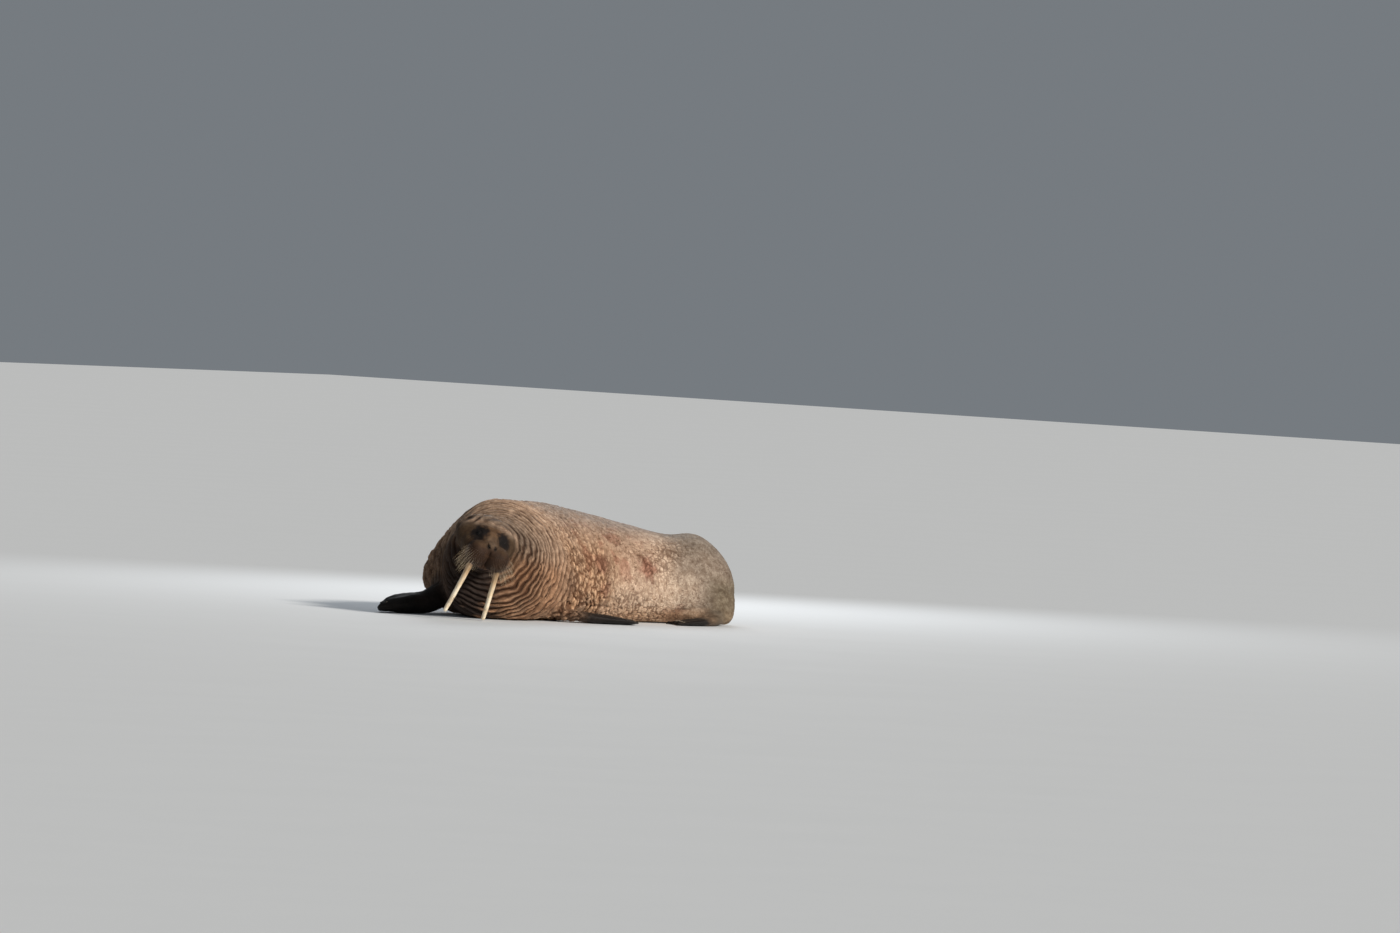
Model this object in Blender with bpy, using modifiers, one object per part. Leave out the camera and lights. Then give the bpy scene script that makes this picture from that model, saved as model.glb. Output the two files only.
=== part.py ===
"""A life-size walrus lying on its belly with its head up, as a still museum model.

The animal is worked out in a viewing frame (metres, X to the right, Y away, Z up, floor at Z = 0),
in which it looks towards -Y and its trunk bends away to the right. It is then turned so that the
run from muzzle to rump lies along +X, and moved so that the middle of its footprint is the origin.
"""
import math
import random

import bmesh
import bpy
from mathutils import Matrix, Vector

# Gap between neighbouring pieces, the wider one where a limb or the tail leaves the trunk, and the floor
GAP = 0.0003
LIMB_GAP = 0.0009
FLOOR = 0.0

# Turn about Z that lays the run from muzzle to rump along +X
BODY_TURN = math.radians(-48.0)

# The head's own frame: F forwards, L to the animal's left, U up, all seen from between the eyes
HEAD_ORIGIN = Vector((-0.520, -0.750, 0.606))
HEAD_YAW = math.radians(13.0)
HEAD_PITCH = math.radians(19.0)
HEAD_ROLL = math.radians(18.0)
HEAD_TURN = (
    Matrix.Rotation(HEAD_ROLL, 3, "Y")
    @ Matrix.Rotation(HEAD_YAW, 3, "Z")
    @ Matrix.Rotation(HEAD_PITCH, 3, "X")
)
HEAD_F = HEAD_TURN @ Vector((0.0, -1.0, 0.0))
HEAD_L = HEAD_TURN @ Vector((1.0, 0.0, 0.0))
HEAD_U = HEAD_TURN @ Vector((0.0, 0.0, 1.0))

# How finely the head is blended
HEAD_VOXEL = 0.007
HEAD_SMOOTHING = 14
HEAD_TRIANGLES = 2000

# Trunk: how finely its skin is divided, and how deep its folds are
RING_POINTS = 40
NECK_FOLDS = 12
NECK_FOLD_DEPTH = 0.009
CHEST_FOLDS = 5
CHEST_FOLD_DEPTH = 0.007
BELLY_RINGS = 9
RUMP_RINGS = 11
NECK_END = 2.9
CHEST_END = 4.5
BELLY_END = 7.0
NECK_CUT = 1.75
CHEST_CUT = 4.2
BELLY_CUT = 6.45

# Nape, the trunk's front end, in the head's frame
NAPE_BACK = 0.130
NAPE_DROP = 0.080
NAPE_HALF_WIDTH = 0.235
NAPE_UP = 0.168
NAPE_DOWN = 0.210

# Tusks
TUSK_ROOT = Vector((0.140, 0.096, -0.120))
TUSK_SHIFT = {"left": 0.006, "right": 0.004}
TUSK_LENGTH = {"left": 0.422, "right": 0.460}
TUSK_SPLAY = {"left": 0.13, "right": -0.08}
TUSK_LEAN = (0.24, 0.00)
TUSK_HALF_WIDTH = (0.0225, 0.0165)
TUSK_HALF_DEPTH = (0.0290, 0.0185)
TUSK_RINGS = 10
TUSK_SIDES = 12

# Whisker pads and whiskers
PAD_CENTRE = Vector((0.122, 0.076, -0.098))
PAD_RADII = Vector((0.092, 0.088, 0.096))
PAD_SQUARE = 0.86
PAD_SEGMENTS = 18
WHISKER_ROWS = 6
WHISKERS_PER_ROW = 7
WHISKER_LENGTH = (0.075, 0.135)
WHISKER_ROOT = 0.0026
WHISKER_TIP = 0.0005
WHISKER_SINK = 0.010
WHISKER_LEVELS = (-52.0, 34.0)
WHISKER_ROUND = (-16.0, 84.0)
TUSK_CLEARANCE = 0.012
CHEEK_CLEARANCE = 0.010

# Width of the line of the mouth, between the pads and the lower lip
LIP_LINE = 0.0025

# Flippers and hind legs
FLIPPER_ROWS = 12
FLIPPER_COLUMNS = 11
FLIPPER_RIDGE = 0.5
LEG_SIDES = 16
HIP_ORIGIN = Vector((1.000, 0.930, 0.0))
HIP_ALONG = Vector((0.974, 0.225, 0.0)).normalized()
HIP_LEFT = Vector((0.225, -0.974, 0.0)).normalized()
LEG_ROWS = 10
CLAW_PLACE = 0.90
FORE_CLAW = (0.022, 0.010)
HIND_CLAW = (0.028, 0.011)

# Eyes, nostrils and ear pits
EYE_SPACING = 0.092
EYE_RADIUS = 0.020
NOSTRIL_PLACE = (0.172, 0.025, -0.012)
NOSTRIL_RADII = (0.020, 0.0135, 0.0060)
EAR_PLACE = (-0.095, 0.232, -0.060)
EAR_RADII = (0.011, 0.016, 0.008)
LID_RADIUS = 0.0065
LID_STRETCH = (1.12, 0.82)

SIDES = {"left": 1.0, "right": -1.0}

# Colour and roughness of each piece
LOOKS = {
    "head": ((0.26, 0.17, 0.115), 0.75),
    "lower_jaw": ((0.11, 0.065, 0.050), 0.70),
    "whisker_pad": ((0.20, 0.13, 0.085), 0.75),
    "tusk": ((0.80, 0.66, 0.45), 0.38),
    "eye": ((0.012, 0.008, 0.007), 0.08),
    "neck": ((0.30, 0.20, 0.14), 0.80),
    "chest": ((0.33, 0.21, 0.15), 0.80),
    "belly": ((0.38, 0.25, 0.19), 0.80),
    "rump": ((0.34, 0.24, 0.18), 0.80),
    "tail": ((0.25, 0.17, 0.13), 0.80),
    "arm": ((0.16, 0.10, 0.075), 0.75),
    "foreflipper": ((0.07, 0.050, 0.040), 0.70),
    "hind_leg": ((0.27, 0.18, 0.13), 0.80),
    "hind_flipper": ((0.13, 0.090, 0.070), 0.72),
}
SMOOTH_UP_TO = math.radians(50.0)


class Section:
    """One cross-section of the trunk: a centre, two axes and how far it reaches on each side."""

    def __init__(
        self, centre, heading, left, right, up, down, blunt_up, blunt_down=2.6, blunt_right=None
    ):
        self.centre = Vector(centre)
        angle = math.radians(heading)
        self.side = Vector((math.sin(angle), -math.cos(angle), 0.0))
        self.up_axis = Vector((0.0, 0.0, 1.0))
        self.sizes = [left, right, up, down, blunt_up, blunt_down, blunt_right or blunt_up]


def nape_section():
    """The trunk's front end, turned with the head."""
    centre = head_point(-NAPE_BACK, 0.0, -NAPE_DROP)
    nape = Section(centre, 90.0, NAPE_HALF_WIDTH, NAPE_HALF_WIDTH, NAPE_UP, NAPE_DOWN, 2.0, 2.0)
    nape.side = HEAD_L.copy()
    nape.up_axis = HEAD_U.copy()
    return nape


def trunk_sections():
    """Cross-sections from the nape to the root of the tail."""
    return [
        nape_section(),
        Section((-0.500, -0.440, 0.415), 84.0, 0.375, 0.385, 0.350, 0.380, 1.95, blunt_right=1.88),
        Section((-0.482, -0.150, 0.360), 77.0, 0.540, 0.398, 0.519, 0.400, 1.80, blunt_right=2.12),
        Section((-0.384, 0.113, 0.310), 65.0, 0.600, 0.731, 0.566, 0.350, 1.78, blunt_right=1.39),
        Section((-0.200, 0.380, 0.310), 49.0, 0.590, 0.655, 0.554, 0.350, 1.85),
        Section((0.100, 0.610, 0.310), 33.0, 0.550, 0.560, 0.492, 0.350, 1.90),
        Section((0.460, 0.770, 0.300), 22.0, 0.480, 0.480, 0.420, 0.330, 1.95),
        Section((0.740, 0.865, 0.290), 16.0, 0.420, 0.420, 0.371, 0.310, 2.0),
        Section((0.950, 0.920, 0.280), 13.0, 0.380, 0.380, 0.396, 0.300, 2.0),
        Section((1.100, 0.953, 0.270), 12.0, 0.304, 0.304, 0.318, 0.280, 2.0),
        Section((1.208, 0.975, 0.260), 12.0, 0.206, 0.206, 0.202, 0.220, 2.0, 2.0),
        Section((1.270, 0.990, 0.250), 12.0, 0.055, 0.055, 0.065, 0.080, 2.0, 2.0),
    ]


def head_point(forwards, left, up):
    """A point given in the head's frame."""
    return HEAD_ORIGIN + HEAD_F * forwards + HEAD_L * left + HEAD_U * up


def head_vector(forwards, left, up):
    """A direction given in the head's frame."""
    return (HEAD_F * forwards + HEAD_L * left + HEAD_U * up).normalized()


def blend(a, b, share):
    """A value part of the way from a to b."""
    return a + (b - a) * share


def smooth_between(values, place):
    """The value at a place along a run of values, on a smooth curve through all of them."""
    last = len(values) - 1
    place = min(max(place, 0.0), float(last))
    start = min(int(place), last - 1)
    t = place - start
    before = values[max(start - 1, 0)]
    here = values[start]
    there = values[start + 1]
    after = values[min(start + 2, last)]
    slope_here = (there - before) * 0.5
    slope_there = (after - here) * 0.5
    return (
        here * (2.0 * t**3 - 3.0 * t**2 + 1.0)
        + slope_here * (t**3 - 2.0 * t**2 + t)
        + there * (-2.0 * t**3 + 3.0 * t**2)
        + slope_there * (t**3 - t**2)
    )


def clear_scene():
    """Remove whatever the file opened with."""
    for thing in list(bpy.data.objects):
        bpy.data.objects.remove(thing, do_unlink=True)


def new_collection(name):
    """A fresh collection in the scene."""
    collection = bpy.data.collections.new(name)
    bpy.context.scene.collection.children.link(collection)
    return collection


def dress(thing):
    """Give a piece its own Principled material and smooth shading."""
    colour, roughness = LOOKS[thing.name.replace("_left", "").replace("_right", "")]
    material = bpy.data.materials.new(thing.name)
    material.use_nodes = True
    shader = material.node_tree.nodes["Principled BSDF"]
    shader.inputs["Base Color"].default_value = (*colour, 1.0)
    shader.inputs["Roughness"].default_value = roughness
    shader.inputs["Metallic"].default_value = 0.0
    material.diffuse_color = (*colour, 1.0)
    thing.data.materials.clear()
    thing.data.materials.append(material)
    thing.data.name = thing.name
    thing.data.shade_smooth()
    thing.data.set_sharp_from_angle(angle=SMOOTH_UP_TO)


def object_from(name, mesh_edit, collection):
    """Turn an edit mesh into a named object."""
    bmesh.ops.recalc_face_normals(mesh_edit, faces=mesh_edit.faces)
    mesh = bpy.data.meshes.new(name)
    mesh_edit.to_mesh(mesh)
    mesh_edit.free()
    thing = bpy.data.objects.new(name, mesh)
    collection.objects.link(thing)
    return thing


def loft(name, rings, collection, flat_tip=False):
    """Skin a run of closed rings with equal numbers of points and close both ends.

    With flat_tip the last ring is that of a thin blade, and its two faces are joined point to point.
    """
    mesh_edit = bmesh.new()
    loops = [[mesh_edit.verts.new(point) for point in ring] for ring in rings]
    count = len(loops[0])
    for near, far in zip(loops, loops[1:]):
        for i in range(count):
            j = (i + 1) % count
            mesh_edit.faces.new((near[i], near[j], far[j], far[i]))
    mesh_edit.faces.new(list(reversed(loops[0])))
    if not flat_tip:
        mesh_edit.faces.new(loops[-1])
    else:
        tip = loops[-1]
        for i in range(count // 2 - 1):
            j = count - 1 - i
            mesh_edit.faces.new((tip[i], tip[i + 1], tip[j - 1], tip[j]))
    return object_from(name, mesh_edit, collection)


def ellipsoid(name, centre, radii, axes, collection, segments=24):
    """A closed ellipsoid on three given axes."""
    mesh_edit = bmesh.new()
    bmesh.ops.create_uvsphere(mesh_edit, u_segments=segments, v_segments=segments // 2, radius=1.0)
    turn = Matrix((axes[0], axes[1], axes[2])).transposed().to_4x4()
    scale = Matrix.Diagonal((*radii, 1.0))
    bmesh.ops.transform(mesh_edit, matrix=Matrix.Translation(centre) @ turn @ scale, verts=mesh_edit.verts)
    return object_from(name, mesh_edit, collection)


def head_ellipsoid(name, centre, radii, collection, grow=0.0, segments=24):
    """An ellipsoid given in the head's frame."""
    sizes = Vector(radii) + Vector((grow, grow, grow))
    return ellipsoid(name, head_point(*centre), sizes, (HEAD_F, HEAD_L, HEAD_U), collection, segments)


def tube(name, points, radii, sides, collection):
    """A round tapered tube along a run of points."""
    rings = []
    start = (points[1] - points[0]).normalized()
    across = start.orthogonal().normalized()
    for i, point in enumerate(points):
        ahead = points[min(i + 1, len(points) - 1)]
        behind = points[max(i - 1, 0)]
        run = (ahead - behind).normalized()
        across = (across - run * across.dot(run)).normalized()
        other = run.cross(across)
        ring = []
        for k in range(sides):
            angle = 2.0 * math.pi * k / sides
            ring.append(point + (across * math.cos(angle) + other * math.sin(angle)) * radii[i])
        rings.append(ring)
    return loft(name, rings, collection)


def baked(thing):
    """Fix an object's modifiers into its mesh."""
    graph = bpy.context.evaluated_depsgraph_get()
    mesh = bpy.data.meshes.new_from_object(thing.evaluated_get(graph))
    thing.modifiers.clear()
    old = thing.data
    thing.data = mesh
    bpy.data.meshes.remove(old)
    return thing


def remove(thing):
    """Delete an object and its mesh."""
    mesh = thing.data
    bpy.data.objects.remove(thing, do_unlink=True)
    bpy.data.meshes.remove(mesh)


def keep_largest(thing):
    """Keep only the closed surface that encloses the most space."""
    mesh_edit = bmesh.new()
    mesh_edit.from_mesh(thing.data)
    bmesh.ops.triangulate(mesh_edit, faces=mesh_edit.faces)
    seen = set()
    shells = []
    for start in mesh_edit.faces:
        if start in seen:
            continue
        shell = []
        stack = [start]
        seen.add(start)
        while stack:
            face = stack.pop()
            shell.append(face)
            for edge in face.edges:
                for other in edge.link_faces:
                    if other not in seen:
                        seen.add(other)
                        stack.append(other)
        shells.append(shell)
    shells.sort(key=shell_volume, reverse=True)
    for shell in shells[1:]:
        bmesh.ops.delete(mesh_edit, geom=shell, context="FACES")
    mesh_edit.to_mesh(thing.data)
    mesh_edit.free()
    return thing


def shell_volume(shell):
    """Six times the space inside a closed run of triangles."""
    total = 0.0
    for face in shell:
        a, b, c = [vertex.co for vertex in face.verts]
        total += a.dot(b.cross(c))
    return abs(total)


def unite(thing, others, solver="EXACT"):
    """Join closed pieces to an object in one union and keep the outer surface."""
    pieces = new_collection(thing.name + "_pieces")
    for other in others:
        for owner in list(other.users_collection):
            owner.objects.unlink(other)
        pieces.objects.link(other)
    joint = thing.modifiers.new("union", "BOOLEAN")
    joint.operation = "UNION"
    joint.operand_type = "COLLECTION"
    joint.collection = pieces
    joint.solver = solver
    baked(thing)
    for other in others:
        remove(other)
    bpy.data.collections.remove(pieces)
    return keep_largest(thing)


def cut(thing, cutters, solver="EXACT"):
    """Cut closed pieces out of an object, one after another."""
    for cutter in cutters:
        hole = thing.modifiers.new("cut", "BOOLEAN")
        hole.operation = "DIFFERENCE"
        hole.object = cutter
        hole.solver = solver
        baked(thing)
        remove(cutter)
    return keep_largest(thing)


def slice_off(thing, point, normal):
    """Remove what lies beyond a plane on its normal's side and close the cut."""
    mesh_edit = bmesh.new()
    mesh_edit.from_mesh(thing.data)
    geometry = mesh_edit.verts[:] + mesh_edit.edges[:] + mesh_edit.faces[:]
    result = bmesh.ops.bisect_plane(
        mesh_edit, geom=geometry, plane_co=point, plane_no=normal, clear_outer=True, dist=1e-7
    )
    rim = [item for item in result["geom_cut"] if isinstance(item, bmesh.types.BMEdge)]
    bmesh.ops.edgeloop_fill(mesh_edit, edges=rim)
    bmesh.ops.recalc_face_normals(mesh_edit, faces=mesh_edit.faces)
    mesh_edit.to_mesh(thing.data)
    mesh_edit.free()
    return thing


def trunk_ring(place, offset, grow):
    """One ring of the trunk's skin, pushed in or out for a fold."""
    sections = trunk_sections()
    centre = smooth_between([s.centre for s in sections], place)
    side = smooth_between([s.side for s in sections], place).normalized()
    up_axis = smooth_between([s.up_axis for s in sections], place).normalized()
    left, right, up, down, blunt_up, blunt_down, blunt_right = [
        smooth_between([s.sizes[k] for s in sections], place) for k in range(7)
    ]
    ring = []
    for i in range(RING_POINTS):
        angle = 2.0 * math.pi * i / RING_POINTS
        cosine = math.cos(angle)
        sine = math.sin(angle)
        blunt = blunt_down
        if sine >= 0.0:
            blunt = blunt_up if cosine >= 0.0 else blunt_right
        reach_side = (left if cosine >= 0.0 else right) * abs(cosine) ** (2.0 / blunt)
        reach_up = (up if sine >= 0.0 else down) * abs(sine) ** (2.0 / blunt)
        outwards = side * math.copysign(reach_side, cosine) + up_axis * math.copysign(reach_up, sine)
        push = grow + offset * max(0.0, min(1.0, 0.6 + 1.2 * sine))
        point = centre + outwards * (1.0 + push / max(outwards.length, 1e-6))
        point.z = max(point.z, FLOOR - grow)
        ring.append(point)
    return ring


def trunk_places():
    """Where the trunk's rings stand, and how far each is pushed out."""
    last = float(len(trunk_sections()) - 1)
    places = [(0.0, 0.0)]
    for i in range(2 * NECK_FOLDS):
        share = (i + 1) / (2 * NECK_FOLDS)
        depth = NECK_FOLD_DEPTH * (1.0 if i % 2 == 0 else -1.0)
        places.append((NECK_END * share, depth))
    for i in range(2 * CHEST_FOLDS):
        share = (i + 1) / (2 * CHEST_FOLDS)
        depth = CHEST_FOLD_DEPTH * (1.0 if i % 2 == 0 else -1.0) * (1.0 - 0.6 * share)
        places.append((blend(NECK_END, CHEST_END, share), depth))
    for i in range(BELLY_RINGS):
        share = (i + 1) / BELLY_RINGS
        places.append((blend(CHEST_END, BELLY_END, share), 0.0))
    for i in range(RUMP_RINGS):
        share = (i + 1) / RUMP_RINGS
        places.append((blend(BELLY_END, last, share), 0.0))
    return places


def make_trunk(name, collection, grow=0.0):
    """The whole trunk from nape to tail root in one piece."""
    places = trunk_places()
    rings = [trunk_ring(place, offset, grow) for place, offset in places]
    _, back = trunk_plane(places[-1][0])
    rings[-1] = [point + back * grow for point in rings[-1]]
    return loft(name, rings, collection)


def trunk_plane(place):
    """A point on the trunk's middle line and the direction towards the rump there."""
    sections = trunk_sections()
    centre = smooth_between([s.centre for s in sections], place)
    side = smooth_between([s.side for s in sections], place).normalized()
    return centre, Vector((0.0, 0.0, 1.0)).cross(side).normalized()


def make_trunk_nodes(collection):
    """Part the trunk with thin cuts into neck, chest, belly and rump."""
    limits = {"neck": (None, NECK_CUT), "chest": (NECK_CUT, CHEST_CUT),
              "belly": (CHEST_CUT, BELLY_CUT), "rump": (BELLY_CUT, None)}
    nodes = []
    for name, (start, end) in limits.items():
        node = make_trunk(name, collection)
        if start is not None:
            point, back = trunk_plane(start)
            slice_off(node, point + back * GAP * 0.5, -back)
        if end is not None:
            point, back = trunk_plane(end)
            slice_off(node, point - back * GAP * 0.5, back)
        nodes.append(keep_largest(node))
    return nodes


def blended(name, pieces, voxel, smoothing, triangles):
    """Melt overlapping closed pieces into one soft form."""
    first, rest = pieces[0], pieces[1:]
    mesh_edit = bmesh.new()
    for piece in pieces:
        mesh_edit.from_mesh(piece.data)
    mesh_edit.to_mesh(first.data)
    mesh_edit.free()
    for piece in rest:
        remove(piece)
    first.name = name
    first.data.name = name
    skin = first.modifiers.new("melt", "REMESH")
    skin.mode = "VOXEL"
    skin.voxel_size = voxel
    soften = first.modifiers.new("soften", "SMOOTH")
    soften.factor = 0.5
    soften.iterations = smoothing
    baked(first)
    thin = first.modifiers.new("thin", "DECIMATE")
    thin.ratio = min(1.0, triangles / (2.0 * len(first.data.polygons)))
    baked(first)
    return keep_largest(first)


JAW = ((0.060, 0.0, -0.172), (0.120, 0.062, 0.054))
HEAD_FORMS = {
    "cranium": ((-0.050, 0.0, -0.055), (0.160, 0.132, 0.112)),
    "nape": ((-0.165, 0.0, -0.080), (0.185, 0.246, 0.178)),
    "bridge": ((0.060, 0.0, -0.050), (0.125, 0.084, 0.058)),
    "nose": ((0.118, 0.0, -0.026), (0.068, 0.062, 0.038)),
    "palate": ((0.050, 0.0, -0.110), (0.120, 0.100, 0.080)),
}
HEAD_PAIRS = {
    "cheek": ((-0.040, 0.078, -0.100), (0.150, 0.112, 0.105)),
    "brow": ((-0.012, 0.066, 0.012), (0.055, 0.036, 0.026)),
}


def make_head(collection):
    """Cranium, cheeks, brows and nose in one, with sockets, lids, nostrils and ear pits."""
    pieces = []
    for name, (centre, radii) in HEAD_FORMS.items():
        pieces.append(head_ellipsoid(name, centre, radii, collection))
    for name, (centre, radii) in HEAD_PAIRS.items():
        for sign in SIDES.values():
            place = (centre[0], centre[1] * sign, centre[2])
            pieces.append(head_ellipsoid(name, place, radii, collection))
    head = blended("head", pieces, HEAD_VOXEL, HEAD_SMOOTHING, HEAD_TRIANGLES)
    slice_off(head, head_point(-NAPE_BACK + GAP, 0.0, 0.0), -HEAD_F)
    lids = [make_lids(sign, collection) for sign in SIDES.values()]
    unite(head, lids)
    holes = []
    for sign in SIDES.values():
        holes.append(eye_ball("socket", sign, collection, GAP))
        holes.append(nostril(sign, collection))
        holes.append(ear_pit(sign, collection))
        holes.append(make_pad_body("pad_bed", sign, collection, GAP))
        holes.append(make_tusk("tusk_bed", side_name(sign), collection, GAP))
    holes.append(jaw_body("jaw_bed", collection, GAP))
    return cut(head, holes)


def side_name(sign):
    """left for +1 and right for -1."""
    return "left" if sign > 0.0 else "right"


def eye_axes(sign):
    """The way an eye looks, and two directions across it."""
    outwards = head_vector(0.50, 0.84 * sign, 0.10)
    across = outwards.cross(HEAD_U).normalized()
    return outwards, across, across.cross(outwards).normalized()


def eye_ball(name, sign, collection, grow=0.0):
    """An eyeball, or with grow the hollow that holds it."""
    outwards, across, upwards = eye_axes(sign)
    radius = EYE_RADIUS + grow
    centre = head_point(0.0, EYE_SPACING * sign, 0.0)
    return ellipsoid(name, centre, (radius, radius, radius), (outwards, across, upwards), collection, 12)


def make_lids(sign, collection):
    """Upper and lower lids: a puckered ring of skin round the eye."""
    outwards, across, upwards = eye_axes(sign)
    centre = head_point(0.0, EYE_SPACING * sign, 0.0) + outwards * EYE_RADIUS * 0.55
    bpy.ops.mesh.primitive_torus_add(
        major_segments=20, minor_segments=6, major_radius=EYE_RADIUS, minor_radius=LID_RADIUS
    )
    lids = bpy.context.active_object
    for owner in list(lids.users_collection):
        owner.objects.unlink(lids)
    collection.objects.link(lids)
    turn = Matrix((across, upwards, outwards)).transposed().to_4x4()
    stretch = Matrix.Diagonal((LID_STRETCH[0], LID_STRETCH[1], 1.0, 1.0))
    lids.data.transform(Matrix.Translation(centre) @ turn @ stretch)
    return lids


def nostril(sign, collection):
    """A slanting slit at the top of the nose."""
    centre = head_point(NOSTRIL_PLACE[0], NOSTRIL_PLACE[1] * sign, NOSTRIL_PLACE[2])
    axes = (HEAD_F, head_vector(0.0, 0.80 * sign, 0.60), head_vector(0.0, -0.60 * sign, 0.80))
    return ellipsoid("nostril", centre, NOSTRIL_RADII, axes, collection, 12)


def ear_pit(sign, collection):
    """The ear is only a small pit: the species has no outer ear."""
    place = (EAR_PLACE[0], EAR_PLACE[1] * sign, EAR_PLACE[2])
    return head_ellipsoid("ear_pit", place, EAR_RADII, collection, 0.0, 10)


def make_pad_body(name, sign, collection, grow=0.0):
    """One swollen half of the upper lip, flat where it meets the other half."""
    centre = (PAD_CENTRE.x, PAD_CENTRE.y * sign, PAD_CENTRE.z)
    pad = head_ellipsoid(name, centre, PAD_RADII, collection, 0.0, PAD_SEGMENTS)
    middle = head_point(*centre)
    for vertex in pad.data.vertices:
        offset = vertex.co - middle
        ways = Vector((offset.dot(HEAD_F), offset.dot(HEAD_L), offset.dot(HEAD_U)))
        spread = pad_spread([ways[k] / PAD_RADII[k] for k in range(3)], grow)
        vertex.co = middle + HEAD_F * spread.x + HEAD_L * spread.y + HEAD_U * spread.z
    inner = GAP * 0.5 if grow == 0.0 else -GAP * 0.5
    return slice_off(pad, head_point(0.0, inner * sign, 0.0), HEAD_L * -sign)


def pad_spread(way, grow=0.0):
    """How far the skin of a pad is from its middle: an ellipsoid drawn out towards a block."""
    reach = [abs(way[k]) ** PAD_SQUARE * (PAD_RADII[k] + grow) for k in range(3)]
    return Vector([math.copysign(reach[k], way[k]) for k in range(3)])


def whisker_roots(sign, rng):
    """Roots in rows over the front and outer face of a pad, with the way each whisker sets out."""
    centre = head_point(PAD_CENTRE.x, PAD_CENTRE.y * sign, PAD_CENTRE.z)
    for row in range(WHISKER_ROWS):
        for place in range(WHISKERS_PER_ROW):
            level = blend(*WHISKER_LEVELS, row / (WHISKER_ROWS - 1)) + rng.uniform(-3.0, 3.0)
            round_side = blend(*WHISKER_ROUND, (place + 0.5 * (row % 2)) / WHISKERS_PER_ROW)
            round_side += rng.uniform(-4.0, 4.0)
            elevation = math.radians(level)
            azimuth = math.radians(round_side)
            normal = Vector((
                math.cos(elevation) * math.cos(azimuth),
                math.cos(elevation) * math.sin(azimuth) * sign,
                math.sin(elevation),
            ))
            offset = pad_spread(normal)
            root = centre + HEAD_F * offset.x + HEAD_L * offset.y + HEAD_U * offset.z
            outwards = (HEAD_F * normal.x + HEAD_L * normal.y + HEAD_U * normal.z).normalized()
            yield root, outwards, rng.uniform(0.0, 1.0)


def clear_of_tusks(run):
    """Whether a bristle keeps away from both tusks all along."""
    for share in (0.0, 0.25, 0.5, 0.75, 1.0):
        point = smooth_between(run, share * (len(run) - 1))
        for name in SIDES:
            for tusk_centre, _, half_depth, _ in tusk_run(name):
                if (point - tusk_centre).length < half_depth + TUSK_CLEARANCE:
                    return False
    return True


def clear_of_cheek(run):
    """Whether a bristle stays outside the cheeks and the chin."""
    solids = [HEAD_PAIRS["cheek"], JAW]
    for point in run:
        offset = point - HEAD_ORIGIN
        local = Vector((offset.dot(HEAD_F), abs(offset.dot(HEAD_L)), offset.dot(HEAD_U)))
        for centre, radii in solids:
            reach = sum(((local[k] - centre[k]) / (radii[k] + CHEEK_CLEARANCE)) ** 2 for k in range(3))
            if reach < 1.0:
                return False
    return True


def make_whiskers(sign, collection):
    """Stiff tapered bristles that sweep down and outwards."""
    rng = random.Random(41 if sign > 0.0 else 43)
    whiskers = []
    for root, outwards, chance in whisker_roots(sign, rng):
        length = blend(WHISKER_LENGTH[0], WHISKER_LENGTH[1], chance)
        lie = head_vector(0.25, 0.40 * sign, -0.85)
        points = []
        for step in range(3):
            share = step / 2.0
            way = (outwards * (0.75 - 0.55 * share) + lie * (0.40 + 0.60 * share)).normalized()
            points.append(root - outwards * WHISKER_SINK if step == 0 else points[-1] + way * length / 2.0)
        if not clear_of_tusks(points[1:]) or not clear_of_cheek(points[1:]):
            continue
        radii = [WHISKER_ROOT, WHISKER_ROOT * 0.80, WHISKER_TIP]
        whiskers.append(tube("whisker", points, radii, 3, collection))
    return whiskers


def make_pad(sign, collection):
    """A pad with its whiskers."""
    pad = make_pad_body("whisker_pad_" + side_name(sign), sign, collection)
    unite(pad, make_whiskers(sign, collection))
    return cut(pad, [make_tusk("tusk_bed", side_name(sign), collection, GAP)])


def tusk_run(side):
    """Centres along a tusk, with its half width, half depth and run there."""
    sign = SIDES[side]
    point = head_point(TUSK_ROOT.x, TUSK_ROOT.y * sign + TUSK_SHIFT[side], TUSK_ROOT.z)
    step = TUSK_LENGTH[side] / (TUSK_RINGS - 1)
    for i in range(TUSK_RINGS):
        share = i / (TUSK_RINGS - 1)
        lean = blend(TUSK_LEAN[0], TUSK_LEAN[1], share)
        run = head_vector(lean, TUSK_SPLAY[side], -1.0)
        if i > 0:
            point = point + run * step
        half_width = blend(TUSK_HALF_WIDTH[0], TUSK_HALF_WIDTH[1], share)
        half_depth = blend(TUSK_HALF_DEPTH[0], TUSK_HALF_DEPTH[1], share)
        yield point.copy(), half_width, half_depth, run


def make_tusk(name, side, collection, grow=0.0):
    """A curved tusk of oval section with a rounded tip."""
    rings = []
    run_of_tusk = list(tusk_run(side))
    for centre, half_width, half_depth, run in run_of_tusk:
        rings.append(tusk_ring(centre, half_width, half_depth, run, grow))
    centre, half_width, half_depth, run = run_of_tusk[-1]
    for turn in (30.0, 55.0, 75.0):
        angle = math.radians(turn)
        shrink = math.cos(angle)
        tip = centre + run * half_depth * math.sin(angle)
        rings.append(tusk_ring(tip, half_width * shrink, half_depth * shrink, run, grow))
    if grow > 0.0:
        rings[0] = [point - run_of_tusk[0][3] * grow for point in rings[0]]
    return loft(name, rings, collection)


def tusk_ring(centre, half_width, half_depth, run, grow):
    """One oval ring of a tusk."""
    across = (HEAD_L - run * HEAD_L.dot(run)).normalized()
    depth = run.cross(across).normalized()
    ring = []
    for k in range(TUSK_SIDES):
        angle = 2.0 * math.pi * k / TUSK_SIDES
        aside = across * math.cos(angle) * (half_width + grow)
        ring.append(centre + aside + depth * math.sin(angle) * (half_depth + grow))
    return ring


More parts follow.
